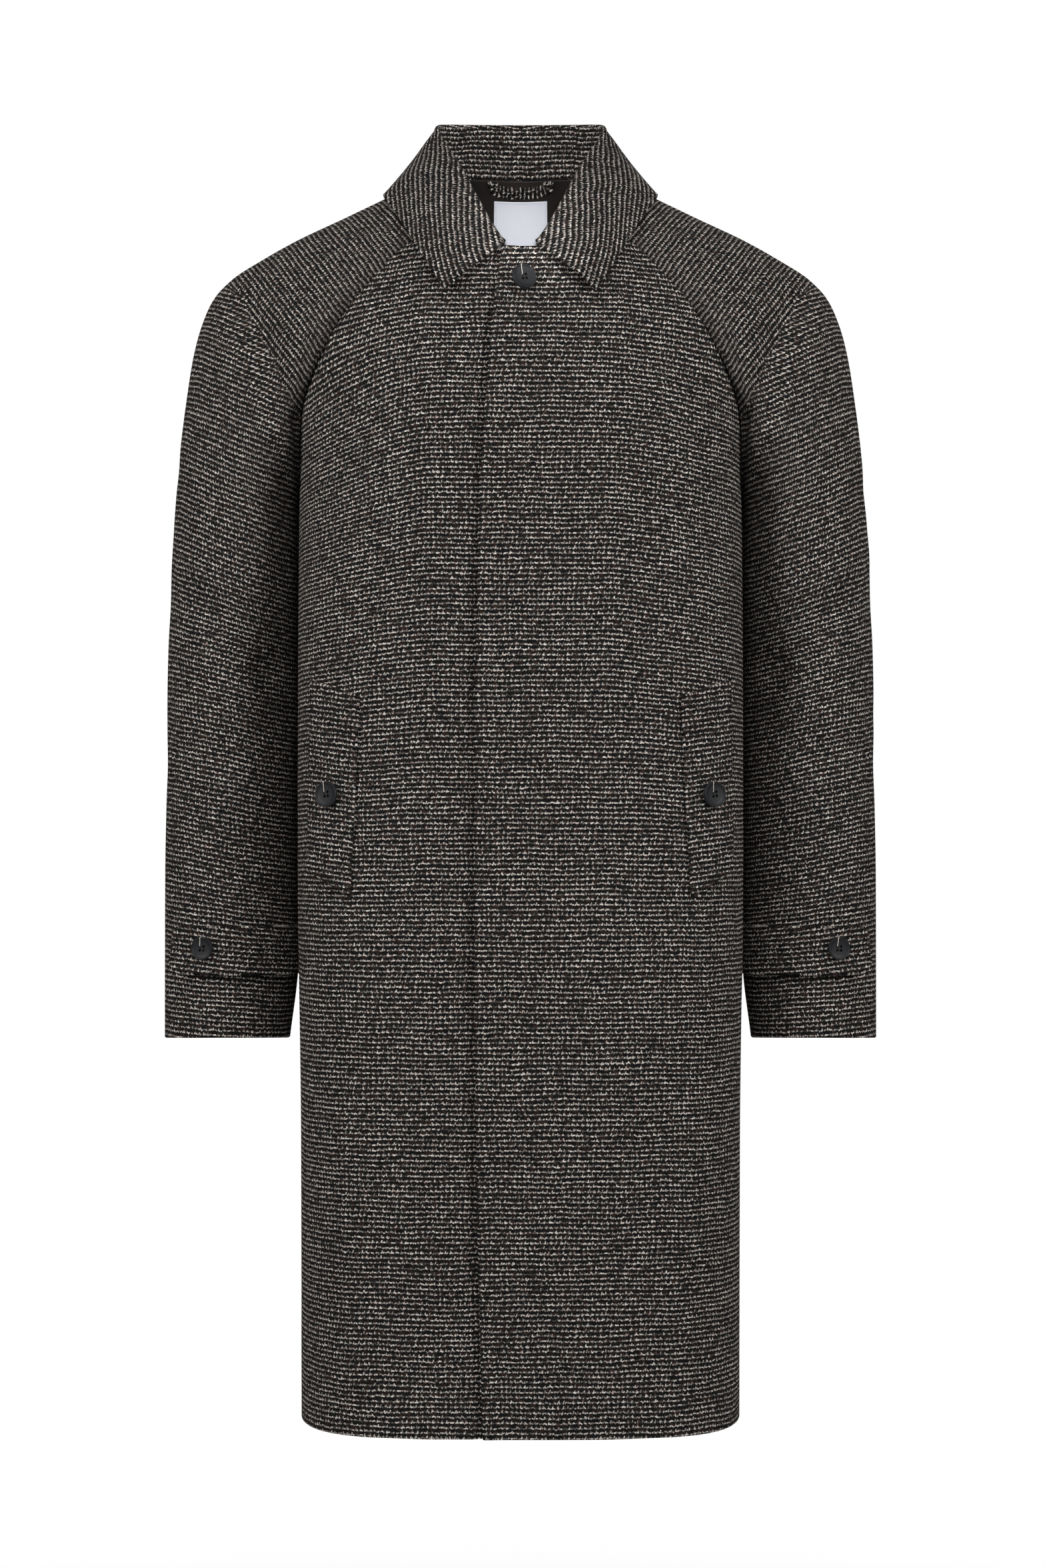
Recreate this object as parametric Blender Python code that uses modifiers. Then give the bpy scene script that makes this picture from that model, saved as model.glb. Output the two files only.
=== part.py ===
"""Raglan car coat, filled out as when worn, with every cut piece a closed wall of cloth.

Metres, +Z up. The front faces -Y and +X is the wearer's left. The origin lies between the
shoulders at the base of the neck, where the wearer carries the coat.

The body is one surface, body(around, z), and each sleeve another, sleeve(ring, around).
The panels are cut out of these two surfaces along the seams, and what is sewn on a panel
is made from the same points, moved out along the surface's normals.
"""
import math

import bmesh
import bpy
import numpy as np
from mathutils import Matrix, Vector

# Driving sizes
CLOTH = 0.0020            # tweed wall
LINING = 0.0010
LABEL = 0.0006
SEAM = 0.0003             # gap between neighbouring pieces
HEM_Z = -0.9715
UNDERARM_Z = -0.235
UNDERLAP = 0.030          # how far the under front passes the centre line
LAP_STEP = CLOTH + 2 * SEAM
LAP_BLEND = (0.045, 0.085)
COLLAR_END = 0.0135       # half the gap between the two collar ends
FALL_REACH = 0.17         # length of shoulder over which the raglan seam's line fades
NECK_SHARE = 0.25         # share of a sleeve half's top edge that lies along the neck
SLEEVE_ROUND = 2.2        # exponent of a sleeve's oval section
ARC_SAMPLES = 96
STEP = 1e-4               # finite difference for the normals
NEAR_EDGE = 1e-3          # ring at which the normals of a sleeve's top edge are taken
SAG = 0.0004              # allowance for the round of a panel under what is sewn on it
SIDE_BLEND = 0.05         # depth over which the front's folds fade into the back's

# Grid sizes of the solids
FRONT_COLUMNS = 16
BACK_COLUMNS = 10
BODY_ROWS = 10
RAGLAN_ROWS = 10
NECK_CROWDING = 1.25
NECK_SEGMENTS = 5
STAND_SEGMENTS = (5, NECK_SEGMENTS, NECK_SEGMENTS, 6)
FALL_STEPS = 6
ROLL_STEPS = 4
WELT_ROWS, WELT_COLUMNS = 8, 9
STRAP_ROWS = 4
LABEL_POINTS = 7
LOOP_POINTS, LOOP_ROWS = 17, 3
CLOTH_CREASE = math.radians(50)
BUTTON_CREASE = math.radians(35)


def table(columns, *rows):
    """A short table with named columns, as one array for each column."""
    return {name: np.array(column, float) for name, column in zip(columns.split(), zip(*rows))}


# Half of a level section through the body: x = half_width sin^(2/round), y = depth cos^(2 fall)
FRONT = table(
    "z       half_width depth  round fall",
    (HEM_Z, 0.1748, 0.160, 3.7, 0.270),
    (-0.750, 0.1752, 0.156, 4.0, 0.250),
    (-0.550, 0.1773, 0.150, 4.4, 0.227),
    (-0.400, 0.1775, 0.144, 4.2, 0.238),
    (-0.235, 0.1775, 0.138, 3.3, 0.303),
    (-0.180, 0.1810, 0.136, 2.9, 0.350),
    (-0.145, 0.1860, 0.132, 2.7, 0.400),
    (-0.109, 0.1900, 0.126, 2.4, 0.500),
    (-0.080, 0.1910, 0.119, 2.2, 0.650),
    (-0.055, 0.1880, 0.1105, 2.0, 0.850),
    (-0.030, 0.1750, 0.100, 2.0, 1.400),
    (0.000, 0.1400, 0.080, 2.0, 2.200),
    (0.031, 0.1100, 0.060, 2.0, 2.600),
)
BACK = table(
    "z       half_width depth  round fall",
    (HEM_Z, 0.1748, 0.128, 3.0, 0.333),
    (-0.750, 0.1752, 0.130, 3.0, 0.333),
    (-0.550, 0.1773, 0.127, 3.0, 0.333),
    (-0.400, 0.1775, 0.122, 3.0, 0.333),
    (-0.235, 0.1775, 0.132, 2.7, 0.370),
    (-0.180, 0.1810, 0.135, 2.5, 0.420),
    (-0.145, 0.1860, 0.136, 2.4, 0.450),
    (-0.100, 0.1905, 0.133, 2.2, 0.550),
    (-0.050, 0.1870, 0.120, 2.0, 0.800),
    (-0.020, 0.1650, 0.106, 2.0, 1.100),
    (0.000, 0.1400, 0.095, 2.0, 1.400),
    (0.031, 0.1100, 0.072, 2.0, 2.000),
)

# Seam lines on the body, seen from the front or from behind
FRONT_RAGLAN = table(
    "x z",
    (0.0620, -0.022),
    (0.1010, -0.057),
    (0.1435, -0.109),
    (0.1620, -0.145),
    (0.1736, -0.180),
    (0.1775, UNDERARM_Z),
)
BACK_RAGLAN = table(
    "x z",
    (0.0480, 0.0285),
    (0.0630, 0.0040),
    (0.0850, -0.030),
    (0.1120, -0.068),
    (0.1385, -0.108),
    (0.1580, -0.145),
    (0.1725, -0.185),
    (0.1775, UNDERARM_Z),
)
FRONT_NECK = table(
    "x z",
    (0.000, -0.0525),
    (0.014, -0.0520),
    (0.030, -0.0460),
    (0.048, -0.0345),
    (0.062, -0.0220),
)
BACK_NECK = table("x z", (0.000, 0.0310), (0.024, 0.0305), (0.048, 0.0285))
SHOULDER_NECK = table(            # neck edge of a sleeve: back raglan, shoulder, front raglan
    "share x y z",
    (-1.0, 0.0480, 0.0490, 0.0285),
    (-0.5, 0.0670, 0.0280, 0.0255),
    (0.0, 0.0780, 0.0000, 0.0180),
    (0.5, 0.0770, -0.0380, 0.0010),
    (1.0, 0.0620, -0.0757, -0.0220),
)
FLY_EDGE = table(
    "z x",
    (HEM_Z, -0.028),
    (-0.750, -0.033),
    (-0.600, -0.034),
    (-0.430, -0.034),
    (-0.270, -0.031),
    (-0.100, -0.021),
    (-0.050, -0.0165),
)

# Sleeve rings from the neck to the cuff: the overarm and underarm points, and the depth
# of the oval before and behind its middle
RINGS = table(
    "top_x top_z under_x under_z middle_y front back",
    (0.0780, 0.018, 0.1775, UNDERARM_Z, 0.000, 0.088, 0.090),
    (0.1110, 0.002, 0.1782, -0.238, 0.000, 0.090, 0.092),
    (0.1460, -0.014, 0.1783, -0.240, 0.002, 0.091, 0.093),
    (0.1790, -0.030, 0.1783, -0.243, 0.003, 0.091, 0.093),
    (0.2080, -0.047, 0.1783, -0.246, 0.004, 0.090, 0.092),
    (0.2330, -0.063, 0.1783, -0.250, 0.005, 0.088, 0.090),
    (0.2480, -0.079, 0.1783, -0.254, 0.005, 0.086, 0.088),
    (0.2575, -0.100, 0.1783, -0.260, 0.005, 0.084, 0.087),
    (0.2645, -0.126, 0.1783, -0.268, 0.005, 0.083, 0.086),
    (0.2700, -0.160, 0.1783, -0.280, 0.005, 0.082, 0.085),
    (0.2760, -0.209, 0.1783, -0.302, 0.004, 0.080, 0.083),
    (0.2800, -0.262, 0.1783, -0.330, 0.003, 0.078, 0.081),
    (0.2830, -0.325, 0.1783, -0.375, 0.000, 0.075, 0.077),
    (0.2850, -0.395, 0.1783, -0.428, -0.003, 0.071, 0.073),
    (0.2852, -0.470, 0.1783, -0.490, -0.008, 0.066, 0.067),
    (0.2860, -0.540, 0.1788, -0.550, -0.013, 0.060, 0.061),
    (0.2858, -0.610, 0.1800, -0.613, -0.018, 0.054, 0.055),
    (0.2855, -0.674, 0.1853, -0.674, -0.022, 0.050, 0.050),
)
LAST_RING = len(RINGS["top_x"]) - 1

# Large soft folds, as valleys along a line seen from the front: depth before and behind
SLEEVE_FOLDS = table(
    "x0    z0     x1     z1     front  back   width",
    (0.217, -0.091, 0.176, -0.178, 0.0070, 0.0050, 0.016),
    (0.257, -0.328, 0.199, -0.378, 0.0055, 0.0040, 0.017),
    (0.199, -0.378, 0.187, -0.412, 0.0040, 0.0030, 0.015),
    (0.262, -0.455, 0.205, -0.430, 0.0025, 0.0035, 0.020),
)
BODY_FOLDS = table(
    "x0    z0     x1     z1     front  back   width",
    (0.125, -0.400, 0.140, -0.970, 0.0000, 0.0050, 0.030),
    (0.055, -0.520, 0.060, -0.970, 0.0000, 0.0040, 0.026),
    (0.110, -0.700, 0.095, -0.970, 0.0025, 0.0000, 0.024),
)

# Collar, from the centre back (0) to the front end (1): the fold along its top, the outer edge,
# the radius of the roll at the fold and how far the fall swells out
COLLAR = table(
    "along fold_x  fold_y  fold_z  edge_x  edge_y  edge_z  roll  swell",
    (0.000, 0.0000, 0.0660, 0.0715, 0.0000, 0.1010, 0.0040, 0.0033, 0.0050),
    (0.190, 0.0475, 0.0580, 0.0722, 0.0610, 0.0830, 0.0015, 0.0033, 0.0060),
    (0.290, 0.0650, 0.0440, 0.0718, 0.0865, 0.0680, 0.0035, 0.0033, 0.0070),
    (0.360, 0.0685, 0.0300, 0.0675, 0.1000, 0.0480, 0.0060, 0.0033, 0.0070),
    (0.445, 0.0645, 0.0120, 0.0545, 0.1095, 0.0200, 0.0085, 0.0033, 0.0060),
    (0.560, 0.0538, -0.0190, 0.0352, 0.1105, -0.0200, 0.0030, 0.0032, 0.0050),
    (0.730, 0.0394, -0.0565, 0.0053, 0.0945, -0.0710, -0.0260, 0.0030, 0.0050),
    (0.870, 0.0262, -0.0900, -0.0242, 0.0780, -0.1030, -0.0555, 0.0028, 0.0040),
    (1.000, 0.0135, -0.1140, -0.0480, 0.0588, -0.1245, -0.0877, 0.0026, 0.0030),
)
STAND_SPLIT = table(        # where the neck edge passes from back to sleeve to front
    "along", (0.0,), (0.19,), (0.445,), (0.766,), (1.0,))["along"]

# Pieces sewn on
WELT_CORNERS = table(       # pocket welt: free edge and sewn edge, top and bottom
    "x z", (0.161, -0.391), (0.163, -0.538), (0.131, -0.557), (0.124, -0.404))
STRAP_TOP, STRAP_BOTTOM = -0.584, -0.621
STRAP_TIP, STRAP_CLIP, STRAP_END = 0.222, 0.04, 0.91     # shares of the front half of the sleeve
STRAP_CLIP_SHARE = 0.22     # share of the strap's width clipped off each corner of its tip
LINING_ROWS = 7
LINING_INSET = 0.003
LABEL_HALF = 0.023
LABEL_TOP, LABEL_BOTTOM = 0.0115, -0.036
LOOP_HALF, LOOP_TOP, LOOP_DROP = 0.0215, 0.0285, 0.0095
LOOP_WIDTH, LOOP_CLOTH = 0.0078, 0.0030
LOOP_SQUARE = 0.55
ON_LINING = CLOTH + SEAM + LINING + SEAM
ON_TWEED = SEAM + CLOTH + SEAM + SAG

# Buttons
BUTTON_SIDES = 16
BUTTON_HOLE_SIDES = 6
BUTTON_HOLE, BUTTON_HOLE_PITCH = 0.0009, 0.0017
BUTTON_PROFILE = table(     # shares of the radius and of the thickness, from the top middle outwards
    "radius height",
    (0.00, 0.62),
    (0.60, 0.62),
    (0.72, 0.95),
    (0.86, 1.00),
    (0.97, 0.80),
    (1.00, 0.50),
    (0.90, 0.00),
    (0.00, 0.00),
)
NECK_BUTTON = (0.002, -0.0765)
POCKET_BUTTON = (0.1465, -0.479)
CUFF_BUTTON = (0.40, -0.6005)       # share of the front half of the sleeve, and height
COAT_BUTTON_SIZE = (0.020, 0.0040)
CUFF_BUTTON_SIZE = (0.018, 0.0038)


# Curves through tables

def smooth(x, xs, ys):
    """Monotone cubic through the points (xs, ys), level beyond both ends."""
    x = np.clip(np.asarray(x, float), xs[0], xs[-1])
    gap = np.diff(xs)
    rise = np.diff(ys) / gap
    before, after = rise[:-1], rise[1:]
    same_way = before * after > 0
    safe = np.where(same_way, before + after, 1.0)
    slope = np.concatenate([rise[:1], np.where(same_way, 2 * before * after / safe, 0.0), rise[-1:]])
    i = np.clip(np.searchsorted(xs, x, side="right") - 1, 0, len(gap) - 1)
    t = (x - xs[i]) / gap[i]
    left = ys[i] * (1 + 2 * t) * (1 - t) ** 2 + slope[i] * gap[i] * t * (1 - t) ** 2
    right = ys[i + 1] * t * t * (3 - 2 * t) + slope[i + 1] * gap[i] * t * t * (t - 1)
    return left + right


def ease(x, low=0.0, high=1.0):
    """0 at low, 1 at high, with a soft start and end."""
    t = np.clip((np.asarray(x, float) - low) / (high - low), 0.0, 1.0)
    return t * t * (3 - 2 * t)


def unit(vectors):
    return vectors / np.maximum(np.linalg.norm(vectors, axis=-1, keepdims=True), 1e-12)


def pick(values, index):
    return np.take_along_axis(values, index[..., None], -1)[..., 0]


def along_arc(a, b, share):
    """The points at a share of the length of each polyline (a, b)."""
    length = np.cumsum(np.hypot(np.diff(a), np.diff(b)), -1)
    length = np.concatenate([np.zeros_like(length[..., :1]), length], -1)
    wanted = share * length[..., -1]
    i = np.clip((length <= wanted[..., None]).sum(-1) - 1, 0, length.shape[-1] - 2)
    part = (wanted - pick(length, i)) / (pick(length, i + 1) - pick(length, i))
    blend = [pick(v, i) + part * (pick(v, i + 1) - pick(v, i)) for v in (a, b)]
    return blend[0], blend[1]


def normals(surface, u, v):
    """Unit normals that point out of the coat, for a surface(u, v) whose u, v order is outward."""
    du = surface(u + STEP, v) - surface(u - STEP, v)
    dv = surface(u, v + STEP) - surface(u, v - STEP)
    return unit(np.cross(du, dv))


def fold_depth(folds, x, z, forward):
    """How deep the folds press in at points seen at (x, z); forward is 1 before and 0 behind."""
    depth = np.zeros_like(x)
    for i in range(len(folds["width"])):
        run = np.array([folds["x1"][i] - folds["x0"][i], folds["z1"][i] - folds["z0"][i]])
        rel_x, rel_z = x - folds["x0"][i], z - folds["z0"][i]
        t = np.clip((rel_x * run[0] + rel_z * run[1]) / (run @ run), 0.0, 1.0)
        away = np.hypot(rel_x - t * run[0], rel_z - t * run[1]) / folds["width"][i]
        full = forward * folds["front"][i] + (1 - forward) * folds["back"][i]
        depth = depth + full * np.exp(-away ** 2)
    return depth


# The body's surface: around is 0 at the centre front, 1 at the side seam, 2 at the centre back

def half_section(shape, z):
    turn = np.linspace(0.0, 1.0, ARC_SAMPLES)
    angle = 0.5 * math.pi * turn * turn * (3 - 2 * turn)
    width, depth, round_, fall = (smooth(z, shape["z"], shape[key])[..., None]
                                  for key in ("half_width", "depth", "round", "fall"))
    x = width * np.sin(angle) ** (2 / round_)
    y = depth * np.clip(np.cos(angle), 0.0, 1.0) ** (2 * fall)
    return x, y


def body_plain(around, z):
    around, z = np.broadcast_arrays(np.asarray(around, float), np.asarray(z, float))
    front_x, front_y = along_arc(*half_section(FRONT, z), np.clip(np.abs(around), 0.0, 1.0))
    back_x, back_y = along_arc(*half_section(BACK, z), np.clip(np.abs(2.0 - around), 0.0, 1.0))
    before = around <= 1.0
    x = np.where(before, np.sign(around) * front_x, np.sign(2.0 - around) * back_x)
    return np.stack([x, np.where(before, -front_y, back_y), z], -1)


def body(around, z):
    plain = body_plain(around, z)
    forward = 1 - ease(plain[..., 1], -SIDE_BLEND, SIDE_BLEND)
    depth = fold_depth(BODY_FOLDS, np.abs(plain[..., 0]), plain[..., 2], forward)
    return plain - normals(body_plain, np.asarray(around, float), plain[..., 2]) * depth[..., None]


def share_at(shape, x, z):
    """The share of the half section, from the centre line to the side seam, at which it reaches x."""
    x, z = np.broadcast_arrays(np.asarray(x, float), np.asarray(z, float))
    low, high = np.zeros(x.shape), np.ones(x.shape)
    section = half_section(shape, z)
    for _ in range(40):
        middle = 0.5 * (low + high)
        short = along_arc(*section, middle)[0] < x
        low, high = np.where(short, middle, low), np.where(short, high, middle)
    return 0.5 * (low + high)


def front_around(x, z):
    return np.sign(x) * share_at(FRONT, np.abs(x), z)


def back_around(x, z):
    return 2.0 - share_at(BACK, x, z)


def along_line(line, share):
    """(x, z) at shares of a seam line's length."""
    run = np.concatenate([[0.0], np.cumsum(np.hypot(np.diff(line["x"]), np.diff(line["z"])))])
    return smooth(share, run / run[-1], line["x"]), smooth(share, run / run[-1], line["z"])


def raglan(side_around, line, share):
    """(around, z) on the body at shares of a raglan seam, from the neck to the underarm."""
    x, z = along_line(line, share)
    around = side_around(x, z)
    return np.where(np.asarray(share) > 1 - 1e-9, 1.0, around), z


# The sleeve's surface: ring runs from the neck to the cuff; around is 0 on the overarm seam,
# 1 on the underarm seam and 2 on the overarm seam again, front half first

def oval(ring, around):
    ring, around = np.broadcast_arrays(np.asarray(ring, float), np.asarray(around, float))
    index = np.arange(LAST_RING + 1.0)
    at = {key: smooth(ring, index, RINGS[key]) for key in RINGS}
    around = np.mod(around, 2.0)
    before = around <= 1.0
    angle = np.linspace(0.0, math.pi, ARC_SAMPLES)
    power = 2 / SLEEVE_ROUND
    run = -np.sign(np.cos(angle)) * np.abs(np.cos(angle)) ** power
    half_x, half_z = 0.5 * (at["under_x"] - at["top_x"]), 0.5 * (at["under_z"] - at["top_z"])
    half = np.hypot(half_x, half_z)
    depth = np.where(before, at["front"], at["back"])
    a, b = along_arc(half[..., None] * run, depth[..., None] * np.sin(angle) ** power,
                     np.where(before, around, 2.0 - around))
    x = at["top_x"] + half_x * (1 + a / half)
    z = at["top_z"] + half_z * (1 + a / half)
    return np.stack([x, at["middle_y"] + np.where(before, -b, b), z], -1)


def armhole(around):
    """The sleeve's top edge, along the neck and then down the raglan seams."""
    around = np.mod(np.asarray(around, float), 2.0)
    before = around <= 1.0
    share = np.where(before, around, 2.0 - around)
    neck_share = np.where(before, 1.0, -1.0) * np.clip(share / NECK_SHARE, 0.0, 1.0)
    shares = SHOULDER_NECK["share"]
    neck = np.stack([smooth(neck_share, shares, SHOULDER_NECK[key]) for key in "xyz"], -1)
    seam_share = np.clip((share - NECK_SHARE) / (1 - NECK_SHARE), 0.0, 1.0)
    front = body(*raglan(front_around, FRONT_RAGLAN, seam_share))
    back = body(*raglan(back_around, BACK_RAGLAN, seam_share))
    seam = np.where(before[..., None], front, back)
    return np.where((share < NECK_SHARE)[..., None], neck, seam)


def sleeve_plain(ring, around):
    ring, around = np.broadcast_arrays(np.asarray(ring, float), np.asarray(around, float))
    index = np.arange(LAST_RING + 1.0)
    top = np.stack([RINGS["top_x"], RINGS["top_z"]], -1)
    run = np.concatenate([[0.0], np.cumsum(np.linalg.norm(np.diff(top, axis=0), axis=1))])
    fade = 1 - ease(smooth(ring, index, run), 0.0, FALL_REACH)
    return oval(ring, around) + fade[..., None] * (armhole(around) - oval(0.0, around))


def sleeve(ring, around):
    plain = sleeve_plain(ring, around)
    forward = 0.5 + 0.5 * np.clip(2 * np.sin(math.pi * np.asarray(around, float)), -1.0, 1.0)
    depth = fold_depth(SLEEVE_FOLDS, plain[..., 0], plain[..., 2], forward) * ease(ring, 0.0, 2.0)
    return plain + normals(sleeve_plain, ring, around) * depth[..., None]


def sleeve_out(ring, around):
    return -normals(sleeve, ring, around)


# Solids from grids of points

def collection(name):
    made = bpy.data.collections.new(name)
    bpy.context.scene.collection.children.link(made)
    return made


def material(name, colour, roughness):
    made = bpy.data.materials.new(name)
    made.use_nodes = True
    shader = made.node_tree.nodes["Principled BSDF"]
    shader.inputs["Base Color"].default_value = (*colour, 1.0)
    shader.inputs["Roughness"].default_value = roughness
    shader.inputs["Metallic"].default_value = 0.0
    return made


def add(name, mesh, finish):
    piece = bpy.data.objects.new(name, mesh)
    COAT.objects.link(piece)
    if not mesh.materials:
        mesh.materials.append(finish)
    return piece


def wall(name, outer, inner, finish):
    """A closed wall of cloth between two grids of the same size."""
    rows, columns = outer.shape[:2]
    bm = bmesh.new()
    skins = [[[bm.verts.new(point) for point in row] for row in grid] for grid in (outer, inner)]
    for skin in skins:
        for i in range(rows - 1):
            for j in range(columns - 1):
                bm.faces.new((skin[i][j], skin[i][j + 1], skin[i + 1][j + 1], skin[i + 1][j]))
    rim = [(0, j) for j in range(columns)] + [(i, columns - 1) for i in range(1, rows)]
    rim += [(rows - 1, j) for j in range(columns - 2, -1, -1)] + [(i, 0) for i in range(rows - 2, 0, -1)]
    for (i, j), (k, m) in zip(rim, rim[1:] + rim[:1]):
        bm.faces.new((skins[0][i][j], skins[0][k][m], skins[1][k][m], skins[1][i][j]))
    bmesh.ops.recalc_face_normals(bm, faces=bm.faces)
    mesh = bpy.data.meshes.new(name)
    bm.to_mesh(mesh)
    bm.free()
    mesh.shade_smooth()
    mesh.set_sharp_from_angle(angle=CLOTH_CREASE)
    return add(name, mesh, finish)


def mirrored(grid):
    return grid * np.array([-1.0, 1.0, 1.0])


def both_halves(half):
    """A grid from side to side, out of a half grid whose first column is on the centre line."""
    return np.concatenate([mirrored(half[:, :0:-1]), half], axis=1)


def coons(bottom, top, left, right, heights):
    """A grid of (around, z) between four edges; rows run from bottom to top, at shares heights."""
    u = np.linspace(0, 1, len(bottom))[None, :, None]
    v = heights[:, None, None]
    ruled = (1 - v) * bottom[None] + v * top[None] + (1 - u) * left[:, None] + u * right[:, None]
    corners = ((1 - u) * (1 - v) * bottom[0] + u * (1 - v) * bottom[-1]
               + (1 - u) * v * top[0] + u * v * top[-1])
    return ruled - corners


def pairs(around, z):
    return np.stack(np.broadcast_arrays(np.asarray(around, float), np.asarray(z, float)), -1)


def half_panel(edge_around, neck, seam, columns):
    """(around, z) over half of the body: level rows up to the underarm, then a patch to the neck.

    edge_around(z) is the centre edge, neck the top edge from there to the raglan seam, and
    seam the raglan seam from the neck to the underarm.
    """
    shares = np.linspace(0.0, 1.0, columns + 1)
    levels = np.linspace(HEM_Z, UNDERARM_Z, BODY_ROWS + 1)
    start = edge_around(levels)[:, None]
    level_rows = pairs(start + shares * (1.0 - start), levels[:, None])
    heights = 1.0 - raglan_shares()[::-1]
    edge_z = UNDERARM_Z + heights * (neck[0, 1] - UNDERARM_Z)
    patch = coons(level_rows[-1], neck, pairs(edge_around(edge_z), edge_z), seam[::-1], heights)
    return np.concatenate([level_rows, patch[1:]])


def mitred(own, other):
    """The normals that two neighbours share at a seam, each keeping its own where cloth doubles back."""
    weight = np.maximum(0.0, (own * other).sum(-1))[..., None]
    return unit(own + 0.5 * weight * (other - own))


def raglan_shares():
    return np.linspace(0.0, 1.0, RAGLAN_ROWS + 1) ** NECK_CROWDING


def sleeve_shares():
    neck = np.linspace(0.0, NECK_SHARE, NECK_SEGMENTS + 1)
    return np.concatenate([neck, NECK_SHARE + (1 - NECK_SHARE) * raglan_shares()[1:]])


def body_grids(grid, seam_sleeve_around, side_shift):
    """The outer points of a body panel, and the normals along which its wall is measured."""
    around, z = grid[..., 0], grid[..., 1]
    outer = body(around, z)
    out = normals(body, around, z)
    seam_rows = slice(BODY_ROWS, None)
    sleeve_side = sleeve_out(np.full(RAGLAN_ROWS + 1, NEAR_EDGE), seam_sleeve_around)
    out[seam_rows, -1] = mitred(out[seam_rows, -1], sleeve_side)
    outer[:BODY_ROWS + 1, -1, 1] += side_shift
    return outer, out


def front_grid(edge_x):
    shares = np.linspace(0.0, 1.0, FRONT_COLUMNS + 1)
    neck_edge = edge_x(FRONT_NECK["z"][0])
    x = neck_edge + shares * (FRONT_NECK["x"][-1] - neck_edge)
    z = smooth(np.abs(x), FRONT_NECK["x"], FRONT_NECK["z"])
    seam = pairs(*raglan(front_around, FRONT_RAGLAN, raglan_shares()))
    neck = pairs(front_around(x, z), z)
    return half_panel(lambda level: front_around(edge_x(level), level), neck, seam, FRONT_COLUMNS)


def make_fronts(tweed):
    """The two fronts, the left one over; returns each one's panel, both as seen on the left."""
    seam_around = (NECK_SHARE + (1 - NECK_SHARE) * raglan_shares())[::-1]
    over_grid = front_grid(lambda z: smooth(z, FLY_EDGE["z"], FLY_EDGE["x"]))
    over, out = body_grids(over_grid, seam_around, -SEAM / 2)
    wall("front_left", over, over - CLOTH * out, tweed)
    under_grid = front_grid(lambda z: np.full(np.shape(z), -UNDERLAP))
    under, under_out = body_grids(under_grid, seam_around, -SEAM / 2)
    under = under - (LAP_STEP * (1 - ease(under[..., 0], *LAP_BLEND)))[..., None] * under_out
    wall("front_right", mirrored(under), mirrored(under - CLOTH * under_out), tweed)
    return {"left": (over, out), "right": (under, under_out)}


def back_neck_line(shares):
    x = shares * BACK_NECK["x"][-1]
    z = smooth(x, BACK_NECK["x"], BACK_NECK["z"])
    return pairs(back_around(x, z), z)


def make_back(tweed):
    seam = pairs(*raglan(back_around, BACK_RAGLAN, raglan_shares()))
    neck = back_neck_line(np.linspace(0.0, 1.0, BACK_COLUMNS + 1))
    grid = half_panel(lambda z: np.full(np.shape(z), 2.0), neck, seam, BACK_COLUMNS)
    seam_around = 2.0 - (NECK_SHARE + (1 - NECK_SHARE) * raglan_shares())[::-1]
    outer, out = body_grids(grid, seam_around, SEAM / 2)
    out[:, 0, 0] = 0.0
    out = unit(out)
    wall("back", both_halves(outer), both_halves(outer - CLOTH * out), tweed)
    return outer, out


def sleeve_half(front):
    """Outer points and normals of half a sleeve, rows from the neck to the cuff."""
    shares = sleeve_shares()
    around = shares if front else 2.0 - shares
    rings = np.concatenate([[0.0, 0.5], np.arange(1.0, LAST_RING + 1)])
    ring, around = np.meshgrid(rings, around, indexing="ij")
    outer = sleeve(ring, around)
    out = sleeve_out(np.maximum(ring, NEAR_EDGE), around)
    if front:
        seam = pairs(*raglan(front_around, FRONT_RAGLAN, raglan_shares()))
    else:
        seam = pairs(*raglan(back_around, BACK_RAGLAN, raglan_shares()))
    body_out = normals(body, seam[:, 0], seam[:, 1])
    out[0, NECK_SEGMENTS:] = mitred(out[0, NECK_SEGMENTS:], body_out)
    outer[0] += SEAM * unit(outer[1] - outer[0])
    outer[:, (0, -1), 1] += -SEAM / 2 if front else SEAM / 2
    return outer, out


def make_sleeves(tweed):
    """Both halves of both sleeves; returns the front half's panel."""
    for half in ("back", "front"):
        outer, out = sleeve_half(half == "front")
        inner = outer - CLOTH * out
        wall(f"sleeve_{half}_left", outer, inner, tweed)
        wall(f"sleeve_{half}_right", mirrored(outer), mirrored(inner), tweed)
    return outer, out


# Collar

def neck_edge(along):
    """Outer points and normals of the neck edge, from the centre back to the front end."""
    back, shoulder, front, end = STAND_SPLIT[1:]
    points, out = [], []
    for value in along:
        if value <= back:
            around, z = back_neck_line(np.array([value / back]))[0]
            points.append(body(around, z))
            out.append(normals(body, around, z))
        elif value < front:
            share = (value - shoulder) / (front - shoulder if value > shoulder else shoulder - back)
            around = NECK_SHARE * share
            points.append(sleeve(0.0, around))
            out.append(sleeve_out(NEAR_EDGE, around))
        else:
            x = FRONT_NECK["x"][-1] + (value - front) / (end - front) * (COLLAR_END - FRONT_NECK["x"][-1])
            z = smooth(x, FRONT_NECK["x"], FRONT_NECK["z"])
            around = front_around(x, z)
            points.append(body(around, z))
            out.append(normals(body, around, z))
    return np.array(points), np.array(out)


def collar_at(along, key):
    """A column of the collar's table, carried on across the centre back so that it stays smooth there."""
    other_side = -1.0 if key.endswith("_x") else 1.0
    places = np.concatenate([-COLLAR["along"][:0:-1], COLLAR["along"]])
    return smooth(along, places, np.concatenate([other_side * COLLAR[key][:0:-1], COLLAR[key]]))


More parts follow.
